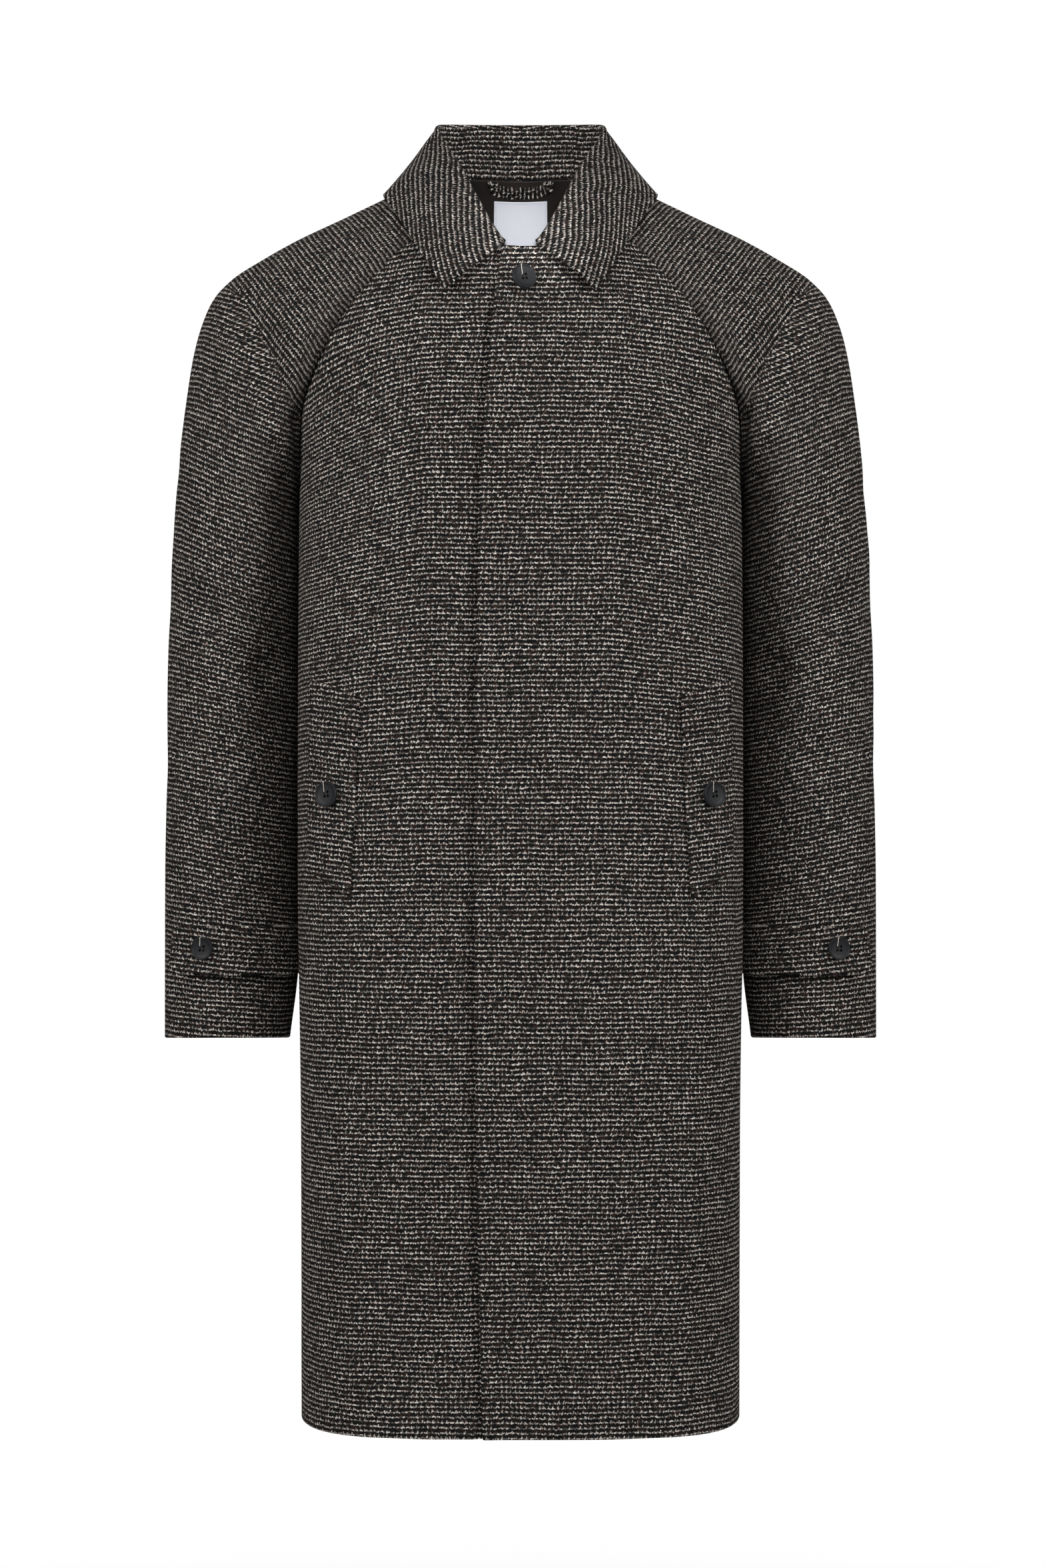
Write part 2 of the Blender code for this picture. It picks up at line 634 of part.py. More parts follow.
def collar_frame(along):
    """For each section: the roll's middle, its radius, and the upward and outward directions."""
    at = {key: collar_at(along, key) for key in COLLAR}
    fold = np.stack([at["fold_x"], at["fold_y"], at["fold_z"]], -1)
    edge = np.stack([at["edge_x"], at["edge_y"], at["edge_z"]], -1)
    foot, foot_out = neck_edge(along)
    up = unit(fold - (foot - 0.5 * CLOTH * foot_out))
    away = edge - fold
    outward = unit(away - (away * up).sum(-1, keepdims=True) * up)
    roll = at["roll"][:, None]
    lift = (SEAM + SEAM * ease(along, *STAND_SPLIT[-2:]))[:, None] * up
    return {"foot": foot, "foot_out": foot_out, "lift": lift, "edge": edge, "up": up, "outward": outward,
            "roll": roll, "middle": fold - roll * up, "swell": at["swell"][:, None]}


def collar_stand(frame):
    """Rows of the stand's outer and inner face, from the neck edge to just under the roll."""
    foot_outer = frame["foot"] + frame["lift"]
    foot_inner = foot_outer - CLOTH * frame["foot_out"]
    top_inner = frame["middle"] - frame["roll"] * frame["outward"] - SEAM * frame["up"]
    top_outer = top_inner + CLOTH * frame["outward"]
    shares = (0.0, 0.5, 1.0)
    return (np.stack([foot_outer + s * (top_outer - foot_outer) for s in shares]),
            np.stack([foot_inner + s * (top_inner - foot_inner) for s in shares]))


def collar_fall(frame):
    """Rows of the fall's outer and inner face, over the roll and down to the outer edge."""
    outer, inner = [], []
    for step in range(ROLL_STEPS + 1):
        angle = math.pi * step / ROLL_STEPS
        ray = math.sin(angle) * frame["up"] - math.cos(angle) * frame["outward"]
        outer.append(frame["middle"] + frame["roll"] * ray)
        inner.append(frame["middle"] + (frame["roll"] - CLOTH) * ray)
    start, edge = outer[-1], frame["edge"]
    chord = edge - start
    side = unit(frame["outward"] - (frame["outward"] * unit(chord)).sum(-1, keepdims=True) * unit(chord))
    for step in range(1, FALL_STEPS + 1):
        s = step / FALL_STEPS
        swell = frame["swell"] * 4 * s * (1 - s)
        lean = frame["swell"] * 4 * (1 - 2 * s)
        point = start + s * chord + swell * side
        tangent = unit(chord + lean * side)
        out = unit(side - (side * tangent).sum(-1, keepdims=True) * tangent)
        outer.append(point)
        inner.append(point - CLOTH * out)
    return np.stack(outer), np.stack(inner)


def make_collar(tweed):
    runs = [np.linspace(low, high, count, endpoint=False)
            for low, high, count in zip(STAND_SPLIT, STAND_SPLIT[1:], STAND_SEGMENTS)]
    frame = collar_frame(np.concatenate(runs + [STAND_SPLIT[-1:]]))
    for name, faces in (("collar_stand", collar_stand(frame)), ("collar", collar_fall(frame))):
        for face in faces:
            face[:, 0, 0] = 0.0
        wall(name, both_halves(faces[0]), both_halves(faces[1]), tweed)


# Pieces sewn on: each is made from its panel's own points, moved out or in

def at_column(panel, column, z):
    """The point and normal of a panel at a place across it, counted in columns, and a height."""
    j = min(int(column), panel[0].shape[1] - 2)
    lines = [grid[:, j] + (column - j) * (grid[:, j + 1] - grid[:, j]) for grid in panel]
    if lines[0][0, 2] > lines[0][-1, 2]:
        lines = [line[::-1] for line in lines]
    height = lines[0][:, 2]
    point, out = (np.array([np.interp(z, height, line[:, axis]) for axis in range(3)]) for line in lines)
    return point, unit(out)


def at_x(panel, x, z):
    """The point and normal of a body panel at a place seen from the front or from behind."""
    reach = [at_column(panel, column, z)[0][0] for column in range(panel[0].shape[1])]
    point, out = at_column(panel, np.interp(abs(x), reach, np.arange(len(reach))), z)
    if x < 0:
        point, out = mirrored(point), mirrored(out)
    return point, out


def sewn_on(name, panel, places, find, near, thickness, finish, mirror=False):
    """A wall over a grid of places on a panel, from near to near + thickness above its points."""
    found = np.array([[find(panel, *place) for place in row] for row in places])
    points, out = found[:, :, 0], found[:, :, 1]
    faces = [points + (near + thickness) * out, points + near * out]
    if mirror:
        faces = [mirrored(face) for face in faces]
    wall(name, faces[0], faces[1], finish)


def make_pocket_welts(fronts, tweed):
    corner = np.stack([WELT_CORNERS["x"], WELT_CORNERS["z"]], -1)
    down = np.linspace(0.0, 1.0, WELT_ROWS)[:, None, None]
    across = np.linspace(0.0, 1.0, WELT_COLUMNS)[None, :, None]
    free = corner[0] + down * (corner[1] - corner[0])
    sewn = corner[3] + down * (corner[2] - corner[3])
    places = free + across * (sewn - free)
    for side, panel in fronts.items():
        sewn_on(f"pocket_welt_{side}", panel, places, at_x, SEAM + SAG, CLOTH, tweed, side == "right")


def sleeve_column(share):
    """The column of the sleeve's grid at a share of the way from the overarm to the underarm seam."""
    return np.interp(share, sleeve_shares(), np.arange(NECK_SEGMENTS + RAGLAN_ROWS + 1))


def make_cuff_straps(panel, tweed):
    tip, square, end = (sleeve_column(share) for share in (STRAP_TIP, STRAP_TIP + STRAP_CLIP, STRAP_END))
    column = np.concatenate([[tip, square], np.arange(math.ceil(square), end), [end]])
    clip = np.where(column > tip, 0.0, STRAP_CLIP_SHARE)
    shares = np.linspace(0.0, 1.0, STRAP_ROWS)[:, None]
    z = STRAP_BOTTOM + (clip + shares * (1 - 2 * clip)) * (STRAP_TOP - STRAP_BOTTOM)
    places = np.stack(np.broadcast_arrays(column, z), -1)
    for side in ("left", "right"):
        sewn_on(f"cuff_strap_{side}", panel, places, at_column, 2 * SEAM, CLOTH, tweed, side == "right")


def make_lining(back, satin):
    """A yoke of lining inside the back, between the raglan seams."""
    points, out = (grid[-LINING_ROWS:] for grid in back)
    out = out.copy()
    points = points.copy()
    points[:, -1] += LINING_INSET * unit(points[:, -2] - points[:, -1])
    points[-1] += LINING_INSET * unit(points[-2] - points[-1])
    faces = [both_halves(points - depth * out) for depth in (CLOTH + SEAM, CLOTH + SEAM + LINING)]
    wall("back_neck_lining", faces[0], faces[1], satin)


def make_label(back, cloth):
    places = [[(x, z) for x in np.linspace(-LABEL_HALF, LABEL_HALF, LABEL_POINTS)]
              for z in np.linspace(LABEL_BOTTOM, LABEL_TOP, LABEL_POINTS)]
    sewn_on("label", back, places, at_x, -(ON_LINING + LABEL), LABEL, cloth)


def make_hanger_loop(back, tweed):
    """A band that hangs in a flat U from the neck seam."""
    angle = np.linspace(0.0, math.pi, LOOP_POINTS)
    x = -LOOP_HALF * np.sign(np.cos(angle)) * np.abs(np.cos(angle)) ** LOOP_SQUARE
    z = LOOP_TOP - LOOP_DROP * np.sin(angle) ** LOOP_SQUARE
    run = unit(np.stack([np.gradient(x), np.gradient(z)], -1))
    across = np.linspace(-0.5, 0.5, LOOP_ROWS)[:, None] * LOOP_WIDTH
    places = np.stack([x - across * run[:, 1], np.minimum(z + across * run[:, 0], LOOP_TOP)], -1)
    sewn_on("hanger_loop", back, places, at_x, -(ON_LINING + LOOP_CLOTH), LOOP_CLOTH, tweed)


# Buttons

def turned_button(diameter, thickness):
    """A four-hole button: a turned profile with a raised rim, and the holes cut through."""
    profile = bpy.data.meshes.new("button_profile")
    shares = zip(BUTTON_PROFILE["radius"], BUTTON_PROFILE["height"])
    rows = [(diameter / 2 * radius, 0.0, thickness * height) for radius, height in shares]
    profile.from_pydata(rows, [(i, i + 1) for i in range(len(rows) - 1)], [])
    blank = bpy.data.objects.new("button_blank", profile)
    CUTTERS.objects.link(blank)
    turn = blank.modifiers.new("turn", "SCREW")
    turn.steps = turn.render_steps = BUTTON_SIDES
    turn.use_merge_vertices = True
    turn.merge_threshold = 0.00005
    for i in range(4):
        angle = math.pi / 4 + i * math.pi / 2
        place = (BUTTON_HOLE_PITCH * math.cos(angle), BUTTON_HOLE_PITCH * math.sin(angle), thickness / 2)
        bpy.ops.mesh.primitive_cylinder_add(
            vertices=BUTTON_HOLE_SIDES, radius=BUTTON_HOLE, depth=2 * thickness, location=place)
        drill = bpy.context.object
        drill.hide_render = True
        drill.display_type = "WIRE"
        cut = blank.modifiers.new(f"hole_{i}", "BOOLEAN")
        cut.operation = "DIFFERENCE"
        cut.object = drill
    mesh = bpy.data.meshes.new_from_object(blank.evaluated_get(bpy.context.evaluated_depsgraph_get()))
    for spent in [blank] + [cut.object for cut in blank.modifiers if cut.type == "BOOLEAN"]:
        bpy.data.objects.remove(spent)
    mesh.shade_smooth()
    mesh.set_sharp_from_angle(angle=BUTTON_CREASE)
    return mesh


def place_button(name, mesh, finish, point, out, height, mirror=False):
    """Set a button with its back at a height above a point of a panel, and its holes level."""
    point, out = Vector(point), Vector(out)
    if mirror:
        point.x, out.x = -point.x, -out.x
    side = out.cross(Vector((0, 0, -1))).normalized()
    up = out.cross(side)
    button = add(name, mesh, finish)
    button.matrix_world = (Matrix.Translation(point + height * out)
                           @ Matrix((side, up, out)).transposed().to_4x4())


def make_buttons(fronts, sleeve_panel, resin):
    coat, cuff = turned_button(*COAT_BUTTON_SIZE), turned_button(*CUFF_BUTTON_SIZE)
    place_button("button_neck", coat, resin, *at_x(fronts["left"], *NECK_BUTTON), SEAM + SAG)
    for side, panel in fronts.items():
        seat = at_x(panel, *POCKET_BUTTON)
        place_button(f"button_pocket_{side}", coat, resin, *seat, ON_TWEED, side == "right")
        seat = at_column(sleeve_panel, sleeve_column(CUFF_BUTTON[0]), CUFF_BUTTON[1])
        place_button(f"button_cuff_{side}", cuff, resin, *seat, ON_TWEED, side == "right")


for leftover in list(bpy.data.objects):
    bpy.data.objects.remove(leftover)
COAT = collection("car_coat")
CUTTERS = collection("cutters")
TWEED = material("tweed", (0.075, 0.068, 0.062), 0.92)
SATIN = material("lining_satin", (0.030, 0.021, 0.018), 0.45)
LABEL_CLOTH = material("label_cloth", (0.86, 0.86, 0.88), 0.60)
RESIN = material("button_resin", (0.018, 0.018, 0.020), 0.42)

FRONT_PANELS = make_fronts(TWEED)
BACK_PANEL = make_back(TWEED)
SLEEVE_PANEL = make_sleeves(TWEED)
make_collar(TWEED)
make_pocket_welts(FRONT_PANELS, TWEED)
make_cuff_straps(SLEEVE_PANEL, TWEED)
make_lining(BACK_PANEL, SATIN)
make_label(BACK_PANEL, LABEL_CLOTH)
make_hanger_loop(BACK_PANEL, TWEED)
make_buttons(FRONT_PANELS, SLEEVE_PANEL, RESIN)
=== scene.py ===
"""Car coat in charcoal tweed: cloth shells with their weave and creases, buttons, and a plain studio.

Metres, +Z up. The front faces -Y and +X is the wearer's left. The body is one surface,
body(around, z), and each sleeve another, sleeve(ring, around), close to the sizes of the solids.
The shells are cut out of these two surfaces along the seams, on a grid fine enough for creases,
sunk seams and rounded edges. Every shell carries its weave as a UV map in metres.
"""
import math
from functools import partial

import bpy
import numpy as np
from mathutils import Matrix, Vector


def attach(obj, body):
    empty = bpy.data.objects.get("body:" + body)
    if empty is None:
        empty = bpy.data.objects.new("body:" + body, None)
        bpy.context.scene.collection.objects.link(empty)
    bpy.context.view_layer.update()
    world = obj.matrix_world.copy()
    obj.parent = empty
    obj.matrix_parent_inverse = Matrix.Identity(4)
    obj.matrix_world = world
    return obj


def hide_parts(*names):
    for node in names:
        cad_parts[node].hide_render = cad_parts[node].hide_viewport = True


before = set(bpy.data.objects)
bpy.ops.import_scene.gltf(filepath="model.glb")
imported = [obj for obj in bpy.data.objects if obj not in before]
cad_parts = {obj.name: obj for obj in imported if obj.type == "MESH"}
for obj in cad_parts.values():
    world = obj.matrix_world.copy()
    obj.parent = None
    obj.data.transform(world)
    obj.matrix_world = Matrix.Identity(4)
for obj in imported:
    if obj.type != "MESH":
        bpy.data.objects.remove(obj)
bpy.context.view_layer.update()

SIDES = ("left", "right")

# Sizes shared with the solids
CLOTH, LINING, LABEL = 0.0020, 0.0010, 0.0006     # thickness of each cloth
SEAM = 0.0003             # gap between two pieces at a seam
SAG = 0.0004              # more room under a welt or a button on the curved front
HEM_Z = -0.9715
UNDERARM_Z = -0.235
UNDERLAP = 0.030          # how far the right front runs past the centre line
LAP_STEP = CLOTH + 2 * SEAM
LAP_BLEND = (0.045, 0.085)     # x over which the right front comes up from under the left one
COLLAR_END = 0.0135       # x of the stand's front ends
FALL_REACH = 0.17         # overarm length over which a sleeve passes from the armhole's shape to its own
NECK_SHARE = 0.25         # share of the sleeve's half girth that lies along the neck
SLEEVE_ROUND = 2.2        # roundness of the sleeve's section, 2 for an ellipse
SIDE_BLEND = 0.05         # front folds pass into back folds this far before and behind the side

# Shape that only the cloth has
CUFF_LIFT, CUFF_LIFT_SPAN = 0.0034, (0.628, 0.674)     # the cuff's front edge rises a little
FOLD_START = 2.0          # the sleeve's folds grow over this many rings
UNDERARM_CALM = 0.22      # share of the sleeve's half over which folds fade towards the underarm seam

# How finely the surfaces are worked out
ARC_SAMPLES = 96          # points of a section
STEP = 1e-4               # step for normals, in each surface's own measure
NEAR_EDGE = 1e-3          # ring beside the armhole where a sleeve's normals are taken
BODY_HALVINGS, SLEEVE_HALVINGS = 40, 30
SEAT_RING = 11.0          # pieces on the sleeve lie below this ring
LEVEL = np.array([1.0, 1.0, 0.0])     # keeps the level part of a direction

# Grid and finish of the shells
CELL = 0.005              # usual size of a shell's cells
EDGE = 0.0008
EDGE_LINES = np.array([0.0, 1.0, 3.0, 6.0]) * EDGE     # lines close to an edge let it turn over
EDGE_ROUND = 0.40         # how far an edge bulges, as a share of the cloth's thickness
GROOVE_DEPTH, GROOVE_WIDTH = 0.0004, 0.0020                 # sunk seams
FLY_STITCH, FLY_STITCH_DEPTH, FLY_STITCH_WIDTH = 0.069, 0.0006, 0.0020
FLY_PROUD, FLY_PROUD_WIDTH = 0.0012, 0.011                  # the fly's edge stands up a little
FLY_DIP, FLY_DIP_WIDTH, FLY_DIP_OFF = 0.0035, 0.0045, 0.001     # the right front sinks beside it

# Rough lengths of pieces, for the count of their cells
FRONT_GIRTH, BACK_GIRTH, SLEEVE_GIRTH = 0.33, 0.30, 0.26     # half of each girth
COLLAR_HALF_LENGTH = 0.25
WELT_LENGTH, WELT_WIDTH = 0.15, 0.035
STRAP_LENGTH = 0.115
LINING_HALF_WIDTH, LINING_HEIGHT = 0.12, 0.14


def table(columns, *rows):
    """A short table with named columns, as one array for each column."""
    return {name: np.array(column, float) for name, column in zip(columns.split(), zip(*rows))}


# Half of a level section through the body: x = half_width sin^(2/round), y = depth cos^(2 fall)
FRONT = table(
    "z       half_width depth  round fall",
    (HEM_Z, 0.1748, 0.160, 3.7, 0.270),
    (-0.750, 0.1752, 0.156, 4.0, 0.250),
    (-0.550, 0.1773, 0.150, 4.4, 0.227),
    (-0.400, 0.1775, 0.144, 4.2, 0.238),
    (-0.235, 0.1775, 0.138, 3.3, 0.303),
    (-0.180, 0.1810, 0.136, 2.9, 0.350),
    (-0.145, 0.1860, 0.132, 2.7, 0.400),
    (-0.109, 0.1900, 0.126, 2.4, 0.500),
    (-0.080, 0.1910, 0.119, 2.2, 0.650),
    (-0.055, 0.1880, 0.1105, 2.0, 0.850),
    (-0.030, 0.1750, 0.100, 2.0, 1.400),
    (0.000, 0.1400, 0.080, 2.0, 2.200),
    (0.031, 0.1100, 0.060, 2.0, 2.600),
)
BACK = table(
    "z       half_width depth  round fall",
    (HEM_Z, 0.1748, 0.128, 3.0, 0.333),
    (-0.750, 0.1752, 0.130, 3.0, 0.333),
    (-0.550, 0.1773, 0.127, 3.0, 0.333),
    (-0.400, 0.1775, 0.122, 3.0, 0.333),
    (-0.235, 0.1775, 0.132, 2.7, 0.370),
    (-0.180, 0.1810, 0.135, 2.5, 0.420),
    (-0.145, 0.1860, 0.136, 2.4, 0.450),
    (-0.100, 0.1905, 0.133, 2.2, 0.550),
    (-0.050, 0.1870, 0.120, 2.0, 0.800),
    (-0.020, 0.1650, 0.106, 2.0, 1.100),
    (0.000, 0.1400, 0.095, 2.0, 1.400),
    (0.031, 0.1100, 0.072, 2.0, 2.000),
)

# Seam lines on the body, seen from the front or from behind
FRONT_RAGLAN = table(
    "x z",
    (0.0620, -0.022),
    (0.1010, -0.057),
    (0.1435, -0.109),
    (0.1620, -0.145),
    (0.1736, -0.180),
    (0.1775, UNDERARM_Z),
)
BACK_RAGLAN = table(
    "x z",
    (0.0480, 0.0285),
    (0.0630, 0.0040),
    (0.0850, -0.030),
    (0.1120, -0.068),
    (0.1385, -0.108),
    (0.1580, -0.145),
    (0.1725, -0.185),
    (0.1775, UNDERARM_Z),
)
FRONT_NECK = table(
    "x z",
    (0.000, -0.0525),
    (0.014, -0.0520),
    (0.030, -0.0460),
    (0.048, -0.0345),
    (0.062, -0.0220),
)
BACK_NECK = table("x z", (0.000, 0.0310), (0.024, 0.0305), (0.048, 0.0285))
SHOULDER_NECK = table(            # neck edge of a sleeve: back raglan, shoulder, front raglan
    "share x y z",
    (-1.0, 0.0480, 0.0490, 0.0285),
    (-0.5, 0.0670, 0.0280, 0.0255),
    (0.0, 0.0780, 0.0000, 0.0180),
    (0.5, 0.0770, -0.0380, 0.0010),
    (1.0, 0.0620, -0.0757, -0.0220),
)
FLY_EDGE = table(
    "z x",
    (HEM_Z, -0.028),
    (-0.750, -0.033),
    (-0.600, -0.034),
    (-0.430, -0.034),
    (-0.270, -0.031),
    (-0.120, -0.022),
    (-0.050, -0.0135),
)

# Sleeve rings from the neck to the cuff: the overarm and underarm points, and the depth
# of the oval before and behind its middle
RINGS = table(
    "top_x top_z under_x under_z middle_y front back",
    (0.0780, 0.018, 0.1775, UNDERARM_Z, 0.000, 0.088, 0.090),
    (0.1110, 0.002, 0.1782, -0.238, 0.000, 0.090, 0.092),
    (0.1460, -0.014, 0.1783, -0.240, 0.002, 0.091, 0.093),
    (0.1790, -0.030, 0.1783, -0.243, 0.003, 0.091, 0.093),
    (0.2080, -0.047, 0.1783, -0.246, 0.004, 0.090, 0.092),
    (0.2330, -0.063, 0.1783, -0.250, 0.005, 0.088, 0.090),
    (0.2480, -0.079, 0.1783, -0.254, 0.005, 0.086, 0.088),
    (0.2575, -0.100, 0.1783, -0.260, 0.005, 0.084, 0.087),
    (0.2645, -0.126, 0.1783, -0.268, 0.005, 0.083, 0.086),
    (0.2700, -0.160, 0.1783, -0.280, 0.005, 0.082, 0.085),
    (0.2760, -0.209, 0.1783, -0.302, 0.004, 0.080, 0.083),
    (0.2800, -0.262, 0.1783, -0.330, 0.003, 0.078, 0.081),
    (0.2830, -0.325, 0.1783, -0.375, 0.000, 0.075, 0.077),
    (0.2850, -0.395, 0.1783, -0.428, -0.003, 0.071, 0.073),
    (0.2852, -0.470, 0.1783, -0.490, -0.008, 0.066, 0.067),
    (0.2860, -0.540, 0.1783, -0.550, -0.013, 0.060, 0.061),
    (0.2858, -0.610, 0.1788, -0.613, -0.018, 0.054, 0.055),
    (0.2855, -0.674, 0.1853, -0.674, -0.022, 0.050, 0.050),
)
LAST_RING = len(RINGS["top_x"]) - 1
RING_INDEX = np.arange(LAST_RING + 1.0)

# Folds, as valleys along a line seen from the front: depth before and behind, below nought for
# a ridge. The shared rows are the solids' large folds and a ridge beside the raglan seam, the rest
# are creases of the cloth.
FOLD_COLUMNS = "x0    z0     x1     z1     front  back   width"
SHARED_SLEEVE_FOLDS = (
    (0.217, -0.091, 0.176, -0.178, 0.0070, 0.0050, 0.016),
    (0.257, -0.328, 0.199, -0.378, 0.0055, 0.0040, 0.017),
    (0.199, -0.378, 0.187, -0.412, 0.0040, 0.0030, 0.015),
    (0.262, -0.455, 0.205, -0.430, 0.0025, 0.0035, 0.020),
    (0.110, -0.046, 0.176, -0.150, -0.0035, -0.0015, 0.0150),
)
SLEEVE_FOLDS = {
    "left": table(
        FOLD_COLUMNS,
        *SHARED_SLEEVE_FOLDS,
        (0.221, -0.084, 0.179, -0.172, 0.0030, 0.0020, 0.0060),
        (0.238, -0.118, 0.197, -0.196, -0.0026, -0.0018, 0.0130),
        (0.250, -0.332, 0.202, -0.374, 0.0016, 0.0010, 0.0070),
        (0.268, -0.286, 0.232, -0.318, -0.0016, -0.0014, 0.0140),
        (0.272, -0.415, 0.238, -0.402, 0.0012, 0.0014, 0.0110),
        (0.230, -0.512, 0.196, -0.496, 0.0014, 0.0012, 0.0120),
        (0.274, -0.236, 0.246, -0.262, 0.0010, 0.0008, 0.0120),
    ),
    "right": table(
        FOLD_COLUMNS,
        *SHARED_SLEEVE_FOLDS,
        (0.220, -0.086, 0.180, -0.170, 0.0027, 0.0022, 0.0065),
        (0.236, -0.124, 0.200, -0.192, -0.0022, -0.0020, 0.0140),
        (0.254, -0.326, 0.206, -0.366, 0.0013, 0.0012, 0.0080),
        (0.262, -0.296, 0.226, -0.330, -0.0014, -0.0012, 0.0130),
        (0.266, -0.426, 0.230, -0.410, 0.0014, 0.0010, 0.0120),
        (0.236, -0.530, 0.200, -0.508, 0.0011, 0.0014, 0.0110),
        (0.270, -0.220, 0.244, -0.250, 0.0008, 0.0010, 0.0130),
    ),
}
SHARED_BODY_FOLDS = (
    (0.125, -0.400, 0.140, -0.970, 0.0000, 0.0050, 0.030),
    (0.055, -0.520, 0.060, -0.970, 0.0000, 0.0040, 0.026),
    (0.110, -0.700, 0.095, -0.970, 0.0025, 0.0000, 0.024),
)
BODY_FOLDS = {
    "left": table(
        FOLD_COLUMNS,
        *SHARED_BODY_FOLDS,
        (0.168, -0.222, 0.138, -0.300, 0.0014, 0.0014, 0.0120),
        (0.158, -0.640, 0.150, -0.930, 0.0012, 0.0010, 0.0140),
        (0.134, -0.760, 0.124, -0.905, -0.0012, -0.0010, 0.0120),
        (0.074, -0.610, 0.066, -0.900, 0.0008, 0.0012, 0.0150),
        (0.150, -0.130, 0.118, -0.205, 0.0008, 0.0012, 0.0140),
        (0.030, -0.260, 0.022, -0.520, 0.0000, 0.0014, 0.0200),
    ),
    "right": table(
        FOLD_COLUMNS,
        *SHARED_BODY_FOLDS,
        (0.166, -0.216, 0.142, -0.286, 0.0012, 0.0016, 0.0130),
        (0.160, -0.610, 0.154, -0.880, 0.0010, 0.0012, 0.0140),
        (0.140, -0.720, 0.130, -0.930, -0.0010, -0.0012, 0.0130),
        (0.082, -0.660, 0.072, -0.940, 0.0010, 0.0010, 0.0140),
        (0.146, -0.136, 0.120, -0.196, 0.0009, 0.0010, 0.0140),
        (0.024, -0.300, 0.034, -0.600, 0.0000, 0.0012, 0.0190),
    ),
}

# Collar, from the centre back (0) to the front end (1): the fold along its top, the outer edge,
# the radius of the roll at the fold and how far the fall swells out
COLLAR = table(
    "along fold_x  fold_y  fold_z  edge_x  edge_y  edge_z  roll  swell",
    (0.000, 0.0000, 0.0660, 0.0752, 0.0000, 0.1010, 0.0040, 0.0033, 0.0050),
    (0.190, 0.0475, 0.0580, 0.0738, 0.0610, 0.0830, 0.0015, 0.0033, 0.0060),
    (0.290, 0.0650, 0.0440, 0.0712, 0.0865, 0.0680, 0.0035, 0.0033, 0.0070),
    (0.360, 0.0685, 0.0300, 0.0675, 0.1000, 0.0480, 0.0060, 0.0033, 0.0070),
    (0.445, 0.0645, 0.0120, 0.0545, 0.1095, 0.0200, 0.0085, 0.0033, 0.0060),
    (0.560, 0.0538, -0.0190, 0.0352, 0.1105, -0.0200, 0.0030, 0.0032, 0.0050),
    (0.730, 0.0394, -0.0565, 0.0053, 0.0945, -0.0710, -0.0260, 0.0030, 0.0050),
    (0.870, 0.0262, -0.0900, -0.0242, 0.0780, -0.1030, -0.0555, 0.0028, 0.0040),
    (1.000, 0.0135, -0.1140, -0.0480, 0.0588, -0.1245, -0.0877, 0.0026, 0.0030),
)
# Places along the neck edge: centre back, back raglan, shoulder, front raglan, front end
STAND_SPLIT = (0.0, 0.19, 0.445, 0.766, 1.0)
COLLAR_CELLS = 76
ROLL_STEPS, STAND_STEPS = 12, 12

# Pieces sewn on
WELT_CORNERS = table(       # pocket welt: free edge and sewn edge, top and bottom
    "x z", (0.161, -0.391), (0.163, -0.538), (0.131, -0.557), (0.124, -0.404))
STRAP_TOP, STRAP_BOTTOM = -0.584, -0.621
STRAP_TIP, STRAP_CLIP, STRAP_END = 0.222, 0.04, 0.91     # shares of the front half of the sleeve
STRAP_CLIP_SHARE = 0.22
DOUBLED = 0.0027            # thickness of welts and straps
STRAP_LIFT = 0.0024         # how far a strap's lower edge stands off the sleeve
LINING_START = 0.472        # share of the way from the underarm to the neck where the lining begins
LINING_INSET, LINING_TOP_INSET = 0.003, 0.0004
LABEL_HALF, LABEL_BULGE, LABEL_BULGE_START = 0.023, 0.0012, 0.02
LABEL_TOP, LABEL_BOTTOM = 0.0160, -0.0315
LOOP_HALF, LOOP_TOP, LOOP_DROP = 0.0250, 0.0298, 0.0068
LOOP_WIDTH, LOOP_CLOTH = 0.0070, 0.0030
LOOP_SQUARE, LOOP_POINTS = 0.55, 65
ON_LINING = CLOTH + SEAM + LINING + SEAM
ON_WELT = SEAM + SAG + DOUBLED + SEAM
ON_STRAP = 2 * SEAM + STRAP_LIFT / 4 + DOUBLED + SEAM     # a strap's middle is lifted a quarter as far

# Buttons
BUTTON_SIDES, BUTTON_HOLE_SIDES = 64, 20
BUTTON_MERGE, BUTTON_SHARP = 0.00002, 40.0     # points closer than this are one; sharp edges in degrees
BUTTON_HOLE, BUTTON_HOLE_PITCH = 0.0011, 0.0022
BUTTON_PROFILE = table(     # shares of the radius and of the thickness, from the top middle outwards
    "radius height",
    (0.00, 0.66),
    (0.30, 0.67),
    (0.60, 0.71),
    (0.80, 0.78),
    (0.85, 0.86),
    (0.88, 0.96),
    (0.91, 1.00),
    (0.945, 1.00),
    (0.975, 0.93),
    (0.995, 0.78),
    (1.00, 0.60),
    (0.99, 0.38),
    (0.96, 0.14),
    (0.90, 0.00),
    (0.00, 0.00),
)
NECK_BUTTON, NECK_BUTTON_SPIN, NECK_BUTTON_LEAN = (0.002, -0.0800), 14.0, 24.0
POCKET_BUTTON, POCKET_BUTTON_SPIN = (0.1465, -0.479), 6.0
CUFF_BUTTON = (0.40, -0.6005)       # share of the front half of the sleeve, and height
COAT_BUTTON_SIZE = (0.020, 0.0040)
CUFF_BUTTON_SIZE = (0.018, 0.0038)
THREAD, THREAD_SIDES, THREAD_POINTS = 0.00032, 8, 24
ACROSS_THREAD = np.array([0.31, 0.17, 0.93])     # a direction that no thread runs along
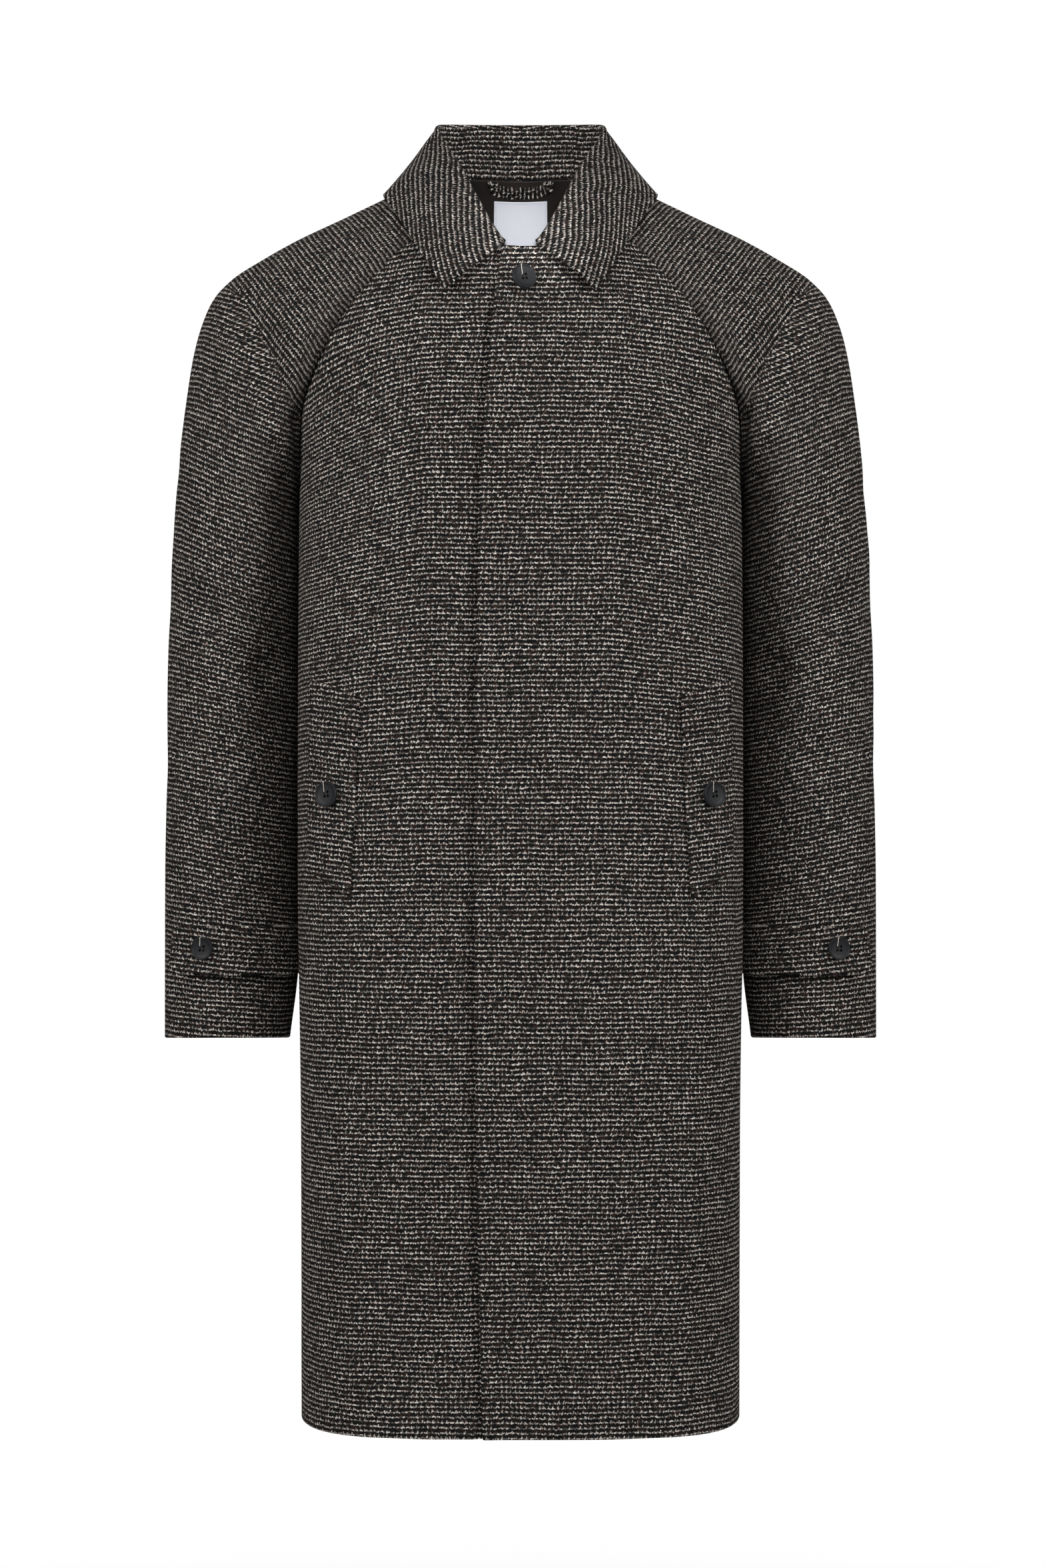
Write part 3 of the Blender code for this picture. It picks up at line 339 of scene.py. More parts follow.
THREAD_PATH = table(        # shares of the holes' offset, the radius, the thickness and the thread
    "side  up   radius height thread",
    (-1.00, 1.0, 0.00, 0.30, 0.0),
    (-1.00, 1.2, 0.00, 0.70, 0.0),
    (-0.95, 1.6, 0.00, 0.70, 1.0),
    (-0.80, 0.0, 0.60, 0.78, 1.0),
    (-0.70, 0.0, 0.86, 1.00, 0.0),
    (-0.60, 0.0, 0.93, 1.00, 0.7),
    (-0.55, 0.0, 0.99, 0.80, 0.0),
)

# The weave: its rows fall by these degrees, on the chest towards the armhole, on shoulder, arm and
# welt towards the middle of the coat, on the collar towards its ends
ROW, NUB = 0.00392, 0.00376          # distance between rows, and between nubs along a row
CHEST_TILT = table(
    "z left right",
    (HEM_Z, 0.0, 0.0),
    (-0.60, 0.0, 0.0),
    (-0.50, 4.0, 4.0),
    (-0.42, 9.0, 9.0),
    (-0.36, 12.0, 13.0),
    (-0.30, 13.0, 18.0),
    (-0.24, 13.0, 25.0),
    (-0.18, 14.0, 28.0),
    (-0.10, 7.0, 15.0),
    (-0.02, 3.0, 8.0),
)
CHEST_TILT_START = 0.065
SHOULDER_TILT = 54.0
ARM_TILT = table(
    "z degrees bend",
    (-0.674, 3.5, 0.0),
    (-0.60, 6.0, 0.0),
    (-0.54, 10.5, 0.0),
    (-0.42, 13.0, 0.0),
    (-0.36, 17.0, 0.5),
    (-0.29, 25.0, 1.4),
    (-0.20, 27.0, 1.4),
    (-0.12, 27.0, 0.8),
    (0.0, 27.0, 0.0),
)
ARM_REFERENCE_X = 0.262
ARM_SAMPLES, LEVEL_PASSES = 200, 8
HINGE = np.array([0.2206, -0.0850])  # top of the crease at the armhole, seen from the front
CREASE_END = np.array([0.176, -0.178])
FAN_RADIUS = 0.022
COLLAR_TILT = 13.0
WELT_TILT = 9.0


# Curves through tables

def smooth(x, xs, ys):
    """Monotone cubic through the points (xs, ys), level beyond both ends."""
    x = np.clip(np.asarray(x, float), xs[0], xs[-1])
    gap = np.diff(xs)
    rise = np.diff(ys) / gap
    before, after = rise[:-1], rise[1:]
    same_way = before * after > 0
    safe = np.where(same_way, before + after, 1.0)
    slope = np.concatenate([rise[:1], np.where(same_way, 2 * before * after / safe, 0.0), rise[-1:]])
    i = np.clip(np.searchsorted(xs, x, side="right") - 1, 0, len(gap) - 1)
    t = (x - xs[i]) / gap[i]
    left = ys[i] * (1 + 2 * t) * (1 - t) ** 2 + slope[i] * gap[i] * t * (1 - t) ** 2
    right = ys[i + 1] * t * t * (3 - 2 * t) + slope[i + 1] * gap[i] * t * t * (t - 1)
    return left + right


def ease(x, low=0.0, high=1.0):
    """0 at low, 1 at high, with a soft start and end."""
    t = np.clip((np.asarray(x, float) - low) / (high - low), 0.0, 1.0)
    return t * t * (3 - 2 * t)


def unit(vectors):
    return vectors / np.maximum(np.linalg.norm(vectors, axis=-1, keepdims=True), 1e-12)


def pick(values, index):
    return np.take_along_axis(values, index[..., None], -1)[..., 0]


def along_arc(a, b, share):
    """The points at a share of the length of each polyline (a, b)."""
    length = np.cumsum(np.hypot(np.diff(a), np.diff(b)), -1)
    length = np.concatenate([np.zeros_like(length[..., :1]), length], -1)
    wanted = share * length[..., -1]
    i = np.clip((length <= wanted[..., None]).sum(-1) - 1, 0, length.shape[-1] - 2)
    part = (wanted - pick(length, i)) / (pick(length, i + 1) - pick(length, i))
    blend = [pick(v, i) + part * (pick(v, i + 1) - pick(v, i)) for v in (a, b)]
    return blend[0], blend[1]


def normals(surface, u, v):
    du = surface(u + STEP, v) - surface(u - STEP, v)
    dv = surface(u, v + STEP) - surface(u, v - STEP)
    return unit(np.cross(du, dv))


def fold_depth(folds, x, z, forward):
    """How deep the folds press in at points seen at (x, z); forward is 1 before and 0 behind."""
    depth = np.zeros_like(x)
    for i in range(len(folds["width"])):
        run = np.array([folds["x1"][i] - folds["x0"][i], folds["z1"][i] - folds["z0"][i]])
        rel_x, rel_z = x - folds["x0"][i], z - folds["z0"][i]
        t = np.clip((rel_x * run[0] + rel_z * run[1]) / (run @ run), 0.0, 1.0)
        away = np.hypot(rel_x - t * run[0], rel_z - t * run[1]) / folds["width"][i]
        full = forward * folds["front"][i] + (1 - forward) * folds["back"][i]
        depth = depth + full * np.exp(-away ** 2)
    return depth


# The body's surface: around is 0 at the centre front, 1 at the side seam, 2 at the centre back

def half_section(shape, z):
    turn = np.linspace(0.0, 1.0, ARC_SAMPLES)
    angle = 0.5 * math.pi * turn * turn * (3 - 2 * turn)
    width, depth, round_, fall = (smooth(z, shape["z"], shape[key])[..., None]
                                  for key in ("half_width", "depth", "round", "fall"))
    x = width * np.sin(angle) ** (2 / round_)
    y = depth * np.clip(np.cos(angle), 0.0, 1.0) ** (2 * fall)
    return x, y


def body_plain(around, z):
    around, z = np.broadcast_arrays(np.asarray(around, float), np.asarray(z, float))
    front_x, front_y = along_arc(*half_section(FRONT, z), np.clip(np.abs(around), 0.0, 1.0))
    back_x, back_y = along_arc(*half_section(BACK, z), np.clip(np.abs(2.0 - around), 0.0, 1.0))
    before = around <= 1.0
    x = np.where(before, np.sign(around) * front_x, np.sign(2.0 - around) * back_x)
    return np.stack([x, np.where(before, -front_y, back_y), z], -1)


def body(around, z, side="left"):
    plain = body_plain(around, z)
    forward = 1 - ease(plain[..., 1], -SIDE_BLEND, SIDE_BLEND)
    depth = fold_depth(BODY_FOLDS[side], np.abs(plain[..., 0]), plain[..., 2], forward)
    return plain - normals(body_plain, np.asarray(around, float), plain[..., 2]) * depth[..., None]


def share_at(shape, x, z):
    """The share of the half section, from the centre line to the side seam, at which it reaches x."""
    x, z = np.broadcast_arrays(np.asarray(x, float), np.asarray(z, float))
    low, high = np.zeros(x.shape), np.ones(x.shape)
    section = half_section(shape, z)
    for _ in range(BODY_HALVINGS):
        middle = 0.5 * (low + high)
        short = along_arc(*section, middle)[0] < x
        low, high = np.where(short, middle, low), np.where(short, high, middle)
    return 0.5 * (low + high)


def front_around(x, z):
    return np.sign(x) * share_at(FRONT, np.abs(x), z)


def back_around(x, z):
    return 2.0 - share_at(BACK, x, z)


def along_line(line, share):
    """(x, z) at shares of a seam line's length."""
    run = np.concatenate([[0.0], np.cumsum(np.hypot(np.diff(line["x"]), np.diff(line["z"])))])
    return smooth(share, run / run[-1], line["x"]), smooth(share, run / run[-1], line["z"])


def raglan(side_around, line, share):
    """(around, z) on the body at shares of a raglan seam, from the neck to the underarm."""
    x, z = along_line(line, share)
    around = side_around(x, z)
    return np.where(np.asarray(share) > 1 - 1e-9, 1.0, around), z


# The sleeve's surface: ring runs from the neck to the cuff; around is 0 on the overarm seam,
# 1 on the underarm seam and 2 on the overarm seam again, front half first

def oval(ring, around):
    ring, around = np.broadcast_arrays(np.asarray(ring, float), np.asarray(around, float))
    at = {key: smooth(ring, RING_INDEX, RINGS[key]) for key in RINGS}
    around = np.mod(around, 2.0)
    before = around <= 1.0
    angle = np.linspace(0.0, math.pi, ARC_SAMPLES)
    power = 2 / SLEEVE_ROUND
    run = -np.sign(np.cos(angle)) * np.abs(np.cos(angle)) ** power
    half_x, half_z = 0.5 * (at["under_x"] - at["top_x"]), 0.5 * (at["under_z"] - at["top_z"])
    half = np.hypot(half_x, half_z)
    depth = np.where(before, at["front"], at["back"])
    a, b = along_arc(half[..., None] * run, depth[..., None] * np.sin(angle) ** power,
                     np.where(before, around, 2.0 - around))
    x = at["top_x"] + half_x * (1 + a / half)
    z = at["top_z"] + half_z * (1 + a / half)
    return np.stack([x, at["middle_y"] + np.where(before, -b, b), z], -1)


def armhole(around):
    """The sleeve's top edge, along the neck and then down the raglan seams."""
    around = np.mod(np.asarray(around, float), 2.0)
    before = around <= 1.0
    share = np.where(before, around, 2.0 - around)
    neck_share = np.where(before, 1.0, -1.0) * np.clip(share / NECK_SHARE, 0.0, 1.0)
    shares = SHOULDER_NECK["share"]
    neck = np.stack([smooth(neck_share, shares, SHOULDER_NECK[key]) for key in "xyz"], -1)
    seam_share = np.clip((share - NECK_SHARE) / (1 - NECK_SHARE), 0.0, 1.0)
    front = body(*raglan(front_around, FRONT_RAGLAN, seam_share))
    back = body(*raglan(back_around, BACK_RAGLAN, seam_share))
    seam = np.where(before[..., None], front, back)
    return np.where((share < NECK_SHARE)[..., None], neck, seam)


def overarm_run():
    """Length along the overarm seam at each ring."""
    top = np.stack([RINGS["top_x"], RINGS["top_z"]], -1)
    return np.concatenate([[0.0], np.cumsum(np.linalg.norm(np.diff(top, axis=0), axis=1))])


def sleeve_plain(ring, around):
    """The sleeve without folds; ring and around are a column and a row, or single values."""
    ring, around = np.asarray(ring, float), np.asarray(around, float)
    fade = 1 - ease(smooth(ring, RING_INDEX, overarm_run()), 0.0, FALL_REACH)
    return oval(ring, around) + fade[..., None] * (armhole(around) - oval(0.0, around))


def sleeve_forward(around):
    """1 over most of the sleeve's front half and 0 over most of its back half."""
    return 0.5 + 0.5 * np.clip(2 * np.sin(math.pi * np.asarray(around, float)), -1.0, 1.0)


def sleeve(ring, around, side="left"):
    plain = sleeve_plain(ring, around)
    forward = sleeve_forward(around)
    depth = fold_depth(SLEEVE_FOLDS[side], plain[..., 0], plain[..., 2], forward)
    depth = depth * ease(ring, 0.0, FOLD_START)
    depth = depth * ease(np.abs(np.asarray(around, float) - 1.0), 0.0, UNDERARM_CALM)
    return plain + normals(sleeve_plain, ring, around) * depth[..., None]


def sleeve_out(ring, around):
    return -normals(sleeve, ring, around)


# Shells from grids of points

def new_object(name, mesh):
    made = bpy.data.objects.new(name, mesh)
    bpy.context.scene.collection.objects.link(made)
    return made


def cell_corners(grid):
    """For a grid of vertex values, the four values of every cell."""
    return np.stack([grid[:-1, :-1], grid[:-1, 1:], grid[1:, 1:], grid[1:, :-1]], 2)


def rim_indices(rows, columns):
    rim = [(0, j) for j in range(columns)] + [(i, columns - 1) for i in range(1, rows)]
    rim += [(rows - 1, j) for j in range(columns - 2, -1, -1)] + [(i, 0) for i in range(rows - 2, 0, -1)]
    return np.array(rim)


def rim_bulge(outer, rim):
    """Directions out of the sheet, in its own plane, at the points of its rim."""
    rows, columns = outer.shape[:2]
    i, j = rim[:, 0], rim[:, 1]
    away = np.zeros((len(rim), 3))
    for on_edge, k, m in ((i == 0, i + 1, j), (i == rows - 1, i - 1, j),
                          (j == 0, i, j + 1), (j == columns - 1, i, j - 1)):
        k, m = np.clip(k, 0, rows - 1), np.clip(m, 0, columns - 1)
        away += np.where(on_edge[:, None], unit(outer[i, j] - outer[k, m]), 0.0)
    return unit(away)


def shell(name, outer, inner, weave, finish):
    """A closed sheet of cloth with a rounded rim; weave holds a UV pair for each corner of each cell."""
    rows, columns = outer.shape[:2]
    count = rows * columns
    index = np.arange(count).reshape(rows, columns)
    cells = cell_corners(index).reshape(-1, 4)
    rim = rim_indices(rows, columns)
    thickness = np.linalg.norm(outer - inner, axis=-1)[rim[:, 0], rim[:, 1]][:, None]
    middle = 0.5 * (outer + inner)[rim[:, 0], rim[:, 1]]
    middle = middle + EDGE_ROUND * thickness * rim_bulge(outer, rim)
    first, second = index[rim[:, 0], rim[:, 1]], 2 * count + np.arange(len(rim))
    ahead = np.roll(np.arange(len(rim)), -1)
    over = np.stack([first, second, second[ahead], first[ahead]], -1)
    under = np.stack([second, first + count, first[ahead] + count, second[ahead]], -1)
    faces = np.concatenate([cells, cells[:, ::-1] + count, over, under])
    corner = np.zeros((rows, columns, 2))
    corner[:-1, :-1], corner[:-1, -1] = weave[:, :, 0], weave[:, -1, 1]
    corner[-1, :-1], corner[-1, -1] = weave[-1, :, 3], weave[-1, -1, 2]
    edge = corner[rim[:, 0], rim[:, 1]]
    rim_uv = np.stack([edge, edge, edge[ahead], edge[ahead]], 1)
    pairs_ = weave.reshape(-1, 4, 2)
    uv = np.concatenate([pairs_, pairs_[:, ::-1], rim_uv, rim_uv])
    points = np.concatenate([outer.reshape(-1, 3), inner.reshape(-1, 3), middle])
    sides = points[cells[:, 2]] - points[cells[:, 0]], points[cells[:, 3]] - points[cells[:, 1]]
    facing = (np.cross(*sides) * (outer - inner)[:-1, :-1].reshape(-1, 3)).sum()
    if facing < 0:
        faces, uv = faces[:, ::-1], uv[:, ::-1]
    mesh = bpy.data.meshes.new(name)
    mesh.from_pydata(points.tolist(), [], faces.tolist())
    mesh.uv_layers.new(name="weave").data.foreach_set("uv", uv.astype(np.float32).ravel())
    mesh.shade_smooth()
    mesh.materials.append(finish)
    return new_object(name, mesh)


def mirrored(grid):
    return grid * np.array([-1.0, 1.0, 1.0])


def on_side(faces, side):
    """Faces made as on the left, on the side where they belong."""
    return [mirrored(face) for face in faces] if side == "right" else faces


def pairs(around, z):
    return np.stack(np.broadcast_arrays(np.asarray(around, float), np.asarray(z, float)), -1)


def crowded(length, start=True, end=True):
    """Shares of a length for cells of the usual size, with lines close to the ends that are edges."""
    lines = EDGE_LINES / length
    near, first = lines[:-1], lines[-1]
    low, high = (first if start else 0.0), (1 - first if end else 1.0)
    inside = np.linspace(low, high, max(3, round(length / CELL)))
    return np.concatenate([near if start else [], inside, 1 - near[::-1] if end else []])


def grid_normals(points, like):
    """Normals of a grid from its own points, on the same side as the directions like."""
    out = np.cross(np.gradient(points, axis=1), np.gradient(points, axis=0))
    return unit(out) * np.sign((out * like).sum())


def run_along(points, axis):
    """Length along each row (axis 1) or column (axis 0) of a grid, from its first point."""
    steps = np.linalg.norm(np.diff(points, axis=axis), axis=-1)
    start = np.zeros_like(np.take(steps, [0], axis))
    return np.concatenate([start, np.cumsum(steps, axis)], axis)


def groove(distance):
    return GROOVE_DEPTH * np.exp(-(distance / GROOVE_WIDTH) ** 2)


def coons(bottom, top, left, right, across, heights):
    """A grid of (around, z) between four edges; rows run from bottom to top."""
    u, v = across[None, :, None], heights[:, None, None]
    ruled = (1 - v) * bottom[None] + v * top[None] + (1 - u) * left[:, None] + u * right[:, None]
    corners = ((1 - u) * (1 - v) * bottom[0] + u * (1 - v) * bottom[-1]
               + (1 - u) * v * top[0] + u * v * top[-1])
    return ruled - corners


def upper_patch(edge_around, neck, seam_at, across, heights):
    """(around, z) between the underarm's level, the panel's edge, the neck and the raglan seam."""
    start = float(edge_around(np.array([UNDERARM_Z]))[0])
    bottom = pairs(start + across * (1.0 - start), UNDERARM_Z)
    edge_z = UNDERARM_Z + heights * (neck[0, 1] - UNDERARM_Z)
    return coons(bottom, neck, pairs(edge_around(edge_z), edge_z), seam_at(1.0 - heights), across, heights)


def half_panel(edge_around, neck, seam_at, across):
    """(around, z) over half of the body, and the raglan share of each row above the underarm."""
    length = UNDERARM_Z - HEM_Z
    levels = HEM_Z + length * crowded(length, end=False)
    start = edge_around(levels)[:, None]
    level_rows = pairs(start + across * (1.0 - start), levels[:, None])
    heights = crowded(neck[-1, 1] - UNDERARM_Z, start=False)
    patch = upper_patch(edge_around, neck, seam_at, across, heights)
    return np.concatenate([level_rows, patch[1:]]), 1.0 - heights[1:]


def front_seam(share):
    return pairs(*raglan(front_around, FRONT_RAGLAN, share))


def back_seam(share):
    return pairs(*raglan(back_around, BACK_RAGLAN, share))


def mitred(own, other):
    """Normals turned halfway towards a neighbour's, or less where the two face apart."""
    weight = np.maximum(0.0, (own * other).sum(-1))[..., None]
    return unit(own + 0.5 * weight * (other - own))


def body_panel(grid, seam_shares, side, front):
    """Outer points and normals of half a body panel, with its seams sunk."""
    around, z = grid[..., 0], grid[..., 1]
    outer = body(around, z, side)
    out = grid_normals(outer, outer * LEVEL)
    to_seam = run_along(outer[:, ::-1], 1)[:, ::-1]
    outer = outer - groove(to_seam)[..., None] * out
    upper = slice(len(grid) - len(seam_shares), None)
    share = NECK_SHARE + (1 - NECK_SHARE) * seam_shares
    sleeve_side = sleeve_out(np.full(len(share), NEAR_EDGE), share if front else 2.0 - share)
    out[upper, -1] = mitred(out[upper, -1], sleeve_side)
    outer[:len(grid) - len(seam_shares), -1, 1] += -SEAM / 2 if front else SEAM / 2
    return outer, out


# The weave as UV maps in metres: U along the rows, V across them

def chest_weave(points, side, start_column=0):
    """Level rows that fall a little towards the armholes."""
    run = run_along(points, 1)
    x, z = np.abs(points[..., 0]), points[..., 2]
    slope = np.tan(np.radians(smooth(z, CHEST_TILT["z"], CHEST_TILT[side])))
    past = np.maximum(x - CHEST_TILT_START, 0.0)
    past = past * past / (past + CHEST_TILT_START)
    return np.stack([run - run[:, start_column:start_column + 1], z + slope * past], -1)


def arm_level(x, z):
    """Height at which a row of the arm's weave through (x, z) meets the reference line on the overarm."""
    level = z
    for _ in range(LEVEL_PASSES):
        tilt = np.radians(np.interp(level, ARM_TILT["z"], ARM_TILT["degrees"]))
        bend = np.interp(level, ARM_TILT["z"], ARM_TILT["bend"])
        inwards = ARM_REFERENCE_X - x
        level = z + inwards * np.tan(tilt) - bend * inwards ** 2
    return level


def arm_weave(x, z):
    """Distance across the arm's rows at (x, z), and at the hinge."""
    heights = np.linspace(ARM_TILT["z"][0], ARM_TILT["z"][-1], ARM_SAMPLES)
    tilt = np.radians(np.interp(heights, ARM_TILT["z"], ARM_TILT["degrees"]))
    run = np.cumsum(np.cos(tilt)) * (heights[1] - heights[0])
    return np.interp(arm_level(x, z), heights, run), np.interp(arm_level(*HINGE), heights, run)


def sleeve_weave(points, run):
    """Rows across the shoulder above the crease and across the arm below it, with a fan between them."""
    def across(x, z):
        rel_x, rel_z = x - HINGE[0], z - HINGE[1]
        steep = math.radians(SHOULDER_TILT)
        flat = math.radians(np.interp(HINGE[1], ARM_TILT["z"], ARM_TILT["degrees"]))
        shoulder = rel_z * math.cos(steep) - rel_x * math.sin(steep)
        fan = FAN_RADIUS * (np.arctan2(rel_z, rel_x) - steep)
        arm, start = arm_weave(x, z)
        return np.stack([shoulder, fan, arm - start - FAN_RADIUS * (steep - flat)]), flat, steep

    x, z = np.abs(points[..., 0]), points[..., 2]
    ways, flat, steep = across(x, z)
    centre_x, centre_z = (cell_corners(value).mean(2) for value in (x, z))
    rel = np.stack([centre_x, centre_z], -1) - HINGE
    angle = np.arctan2(rel[..., 1], rel[..., 0])
    middle = 0.5 * (flat + steep)
    outside = rel @ np.array([math.cos(middle), math.sin(middle)]) > 0
    crease = CREASE_END - HINGE
    neck_side = rel @ np.array([crease[1], -crease[0]]) > 0
    by_angle = np.where(angle >= steep, 0, np.where(angle > flat, 1, 2))
    way = np.where(outside, by_angle, np.where(neck_side, 0, 2))
    corners = np.stack([cell_corners(value) for value in ways])
    v = np.take_along_axis(corners, way[None, :, :, None], 0)[0]
    return np.stack([cell_corners(run), v], -1)


# Cloth pieces

def front_half(edge_x, side):
    neck_start = float(edge_x(FRONT_NECK["z"][0]))
    across = crowded(FRONT_GIRTH)
    x = neck_start + across * (FRONT_NECK["x"][-1] - neck_start)
    z = smooth(np.abs(x), FRONT_NECK["x"], FRONT_NECK["z"])
    neck = pairs(front_around(x, z), z)

    def edge_around(level):
        return front_around(edge_x(level), level)

    grid, seam_shares = half_panel(edge_around, neck, front_seam, across)
    return body_panel(grid, seam_shares, side, front=True)


def fly_edge(z):
    return smooth(z, FLY_EDGE["z"], FLY_EDGE["x"])


def underlap_edge(z):
    return np.full(np.shape(z), -UNDERLAP)


def make_fronts(tweed):
    over, out = front_half(fly_edge, "left")
    from_edge = run_along(over, 1)
    sunk = FLY_STITCH_DEPTH * np.exp(-((from_edge - FLY_STITCH) / FLY_STITCH_WIDTH) ** 2)
    proud = FLY_PROUD * np.exp(-(from_edge / FLY_PROUD_WIDTH) ** 2)
    over = over + (proud - sunk)[..., None] * out
    weave = cell_corners(chest_weave(over, "left"))
    left = shell("front_left_cloth", over, over - CLOTH * out, weave, tweed)
    under, out = front_half(underlap_edge, "right")
    from_fly = under[..., 0] + fly_edge(under[..., 2]) - FLY_DIP_OFF
    dip = FLY_DIP * np.exp(-(from_fly / FLY_DIP_WIDTH) ** 2)
    under = under - (LAP_STEP * (1 - ease(under[..., 0], *LAP_BLEND)) + dip)[..., None] * out
    weave = cell_corners(chest_weave(under, "right") * np.array([-1.0, 1.0]))
    right = shell("front_right_cloth", mirrored(under), mirrored(under - CLOTH * out), weave, tweed)
    return {"front_left": left, "front_right": right}


def back_neck_line(shares):
    x = shares * BACK_NECK["x"][-1]
    z = smooth(x, BACK_NECK["x"], BACK_NECK["z"])
    return pairs(back_around(x, z), z)


def centre_back(z):
    return np.full(np.shape(z), 2.0)


def join_halves(left, right):
    return np.concatenate([mirrored(right[:, :0:-1]), left], axis=1)


def on_centre_line(out):
    """Normals without a sideways part on the centre line."""
    out[:, 0, 0] = 0.0
    return unit(out)


def make_back(tweed):
    across = crowded(BACK_GIRTH, start=False)
    grid, seam_shares = half_panel(centre_back, back_neck_line(across), back_seam, across)
    halves = [body_panel(grid, seam_shares, side, front=False) for side in SIDES]
    outer = join_halves(halves[0][0], halves[1][0])
    inner = join_halves(*[half - CLOTH * on_centre_line(out) for half, out in halves])
    weave = cell_corners(chest_weave(outer, "left", start_column=len(across) - 1))
    return {"back": shell("back_cloth", outer, inner, weave, tweed)}


def sleeve_half(front, side):
    """Outer points and normals of half a sleeve as on the left, rows from the neck to the cuff."""
    run = overarm_run()
    ring = np.interp(crowded(run[-1]) * run[-1], run, RING_INDEX)[:, None]
    shares = crowded(SLEEVE_GIRTH)
    around = (shares if front else 2.0 - shares)[None, :]
    outer = sleeve(ring, around, side)
    middle_x = (RINGS["top_x"] + RINGS["under_x"]) / 2
    middle_z = (RINGS["top_z"] + RINGS["under_z"]) / 2
    middles = (middle_x, RINGS["middle_y"], middle_z)
    axis = np.stack([np.interp(ring, RING_INDEX, middle) for middle in middles], -1)
    out = grid_normals(outer, outer - axis)
    if front:
        outer[..., 2] += CUFF_LIFT * np.sin(math.pi * shares) * ease(-outer[..., 2], *CUFF_LIFT_SPAN)
    across = run_along(outer, 1)
    to_edge = np.minimum(across, across[:, -1:] - across)
    to_seam = run_along(outer, 0) + np.where(shares < NECK_SHARE, 1.0, 0.0)
    outer = outer - (groove(to_edge) + groove(to_seam))[..., None] * out
    seam = front_seam if front else back_seam
    raglan_part = shares >= NECK_SHARE
    grid = seam((shares[raglan_part] - NECK_SHARE) / (1 - NECK_SHARE))
    out[0, raglan_part] = mitred(out[0, raglan_part], normals(body, grid[:, 0], grid[:, 1]))
    outer[0] += SEAM * unit(outer[1] - outer[0])
    outer[:, (0, -1), 1] += -SEAM / 2 if front else SEAM / 2
    return outer, out


def make_sleeves(tweed):
    made = {}
    for side in SIDES:
        for half in ("front", "back"):
            outer, out = sleeve_half(half == "front", side)
            weave = sleeve_weave(outer, run_along(outer, 1))
            faces = on_side([outer, outer - CLOTH * out], side)
            node = f"sleeve_{half}_{side}"
            made[node] = shell(f"{node}_cloth", *faces, weave, tweed)
    return made


def neck_edge(along):
    """Outer points and normals of the neck edge, from the centre back to the front end."""
    back, shoulder, front, end = STAND_SPLIT[1:]
    points, out = [], []
    for value in along:
        if value <= back:
            around, z = back_neck_line(np.array([value / back]))[0]
            points.append(body(around, z))
            out.append(normals(body, around, z))
        elif value < front:
            share = (value - shoulder) / (front - shoulder if value > shoulder else shoulder - back)
            around = NECK_SHARE * share
            points.append(sleeve(0.0, around))
            out.append(sleeve_out(NEAR_EDGE, around))
        else:
            x = FRONT_NECK["x"][-1] + (value - front) / (end - front) * (COLLAR_END - FRONT_NECK["x"][-1])
            z = smooth(x, FRONT_NECK["x"], FRONT_NECK["z"])
            around = front_around(x, z)
            points.append(body(around, z))
            out.append(normals(body, around, z))
    return np.array(points), np.array(out)


def collar_at(along, key):
    """A column of the collar's table, carried on across the centre back so that it stays smooth there."""
    other_side = -1.0 if key.endswith("_x") else 1.0
    places = np.concatenate([-COLLAR["along"][:0:-1], COLLAR["along"]])
    return smooth(along, places, np.concatenate([other_side * COLLAR[key][:0:-1], COLLAR[key]]))


def collar_frame(along):
    """For each section: the roll's middle, its radius, and the upward and outward directions."""
    at = {key: collar_at(along, key) for key in COLLAR}
    fold = np.stack([at["fold_x"], at["fold_y"], at["fold_z"]], -1)
    edge = np.stack([at["edge_x"], at["edge_y"], at["edge_z"]], -1)
    foot, foot_out = neck_edge(along)
    up = unit(fold - (foot - 0.5 * CLOTH * foot_out))
    away = edge - fold
    outward = unit(away - (away * up).sum(-1, keepdims=True) * up)
    roll = at["roll"][:, None]
    lift = (SEAM + SEAM * ease(along, *STAND_SPLIT[-2:]))[:, None] * up
    return {"foot": foot, "foot_out": foot_out, "lift": lift, "edge": edge, "up": up, "outward": outward,
            "roll": roll, "middle": fold - roll * up, "swell": at["swell"][:, None]}


def collar_stand(at):
    """Rows of the stand's outer and inner face, from the neck edge to just under the roll."""
    foot_outer = at["foot"] + at["lift"]
    foot_inner = foot_outer - CLOTH * at["foot_out"]
    top_inner = at["middle"] - at["roll"] * at["outward"] - SEAM * at["up"]
    top_outer = top_inner + CLOTH * at["outward"]
    shares = np.linspace(0.0, 1.0, STAND_STEPS + 1)
    return (np.stack([foot_outer + s * (top_outer - foot_outer) for s in shares]),
            np.stack([foot_inner + s * (top_inner - foot_inner) for s in shares]))


def collar_fall(at):
    """Rows of the fall's outer and inner face, over the roll and down to the outer edge."""
    outer, inner = [], []
    for step in range(ROLL_STEPS + 1):
        angle = math.pi * step / ROLL_STEPS
        ray = math.sin(angle) * at["up"] - math.cos(angle) * at["outward"]
        outer.append(at["middle"] + at["roll"] * ray)
        inner.append(at["middle"] + (at["roll"] - CLOTH) * ray)
    start, edge = outer[-1], at["edge"]
    chord = edge - start
    side = unit(at["outward"] - (at["outward"] * unit(chord)).sum(-1, keepdims=True) * unit(chord))
    length = np.linalg.norm(chord, axis=-1).mean()
    for s in crowded(length, start=False)[1:]:
        swell = at["swell"] * 4 * s * (1 - s)
        lean = at["swell"] * 4 * (1 - 2 * s)
        point = start + s * chord + swell * side
        tangent = unit(chord + lean * side)
        out = unit(side - (side * tangent).sum(-1, keepdims=True) * tangent)
        outer.append(point)
        inner.append(point - CLOTH * out)
    return np.stack(outer), np.stack(inner)


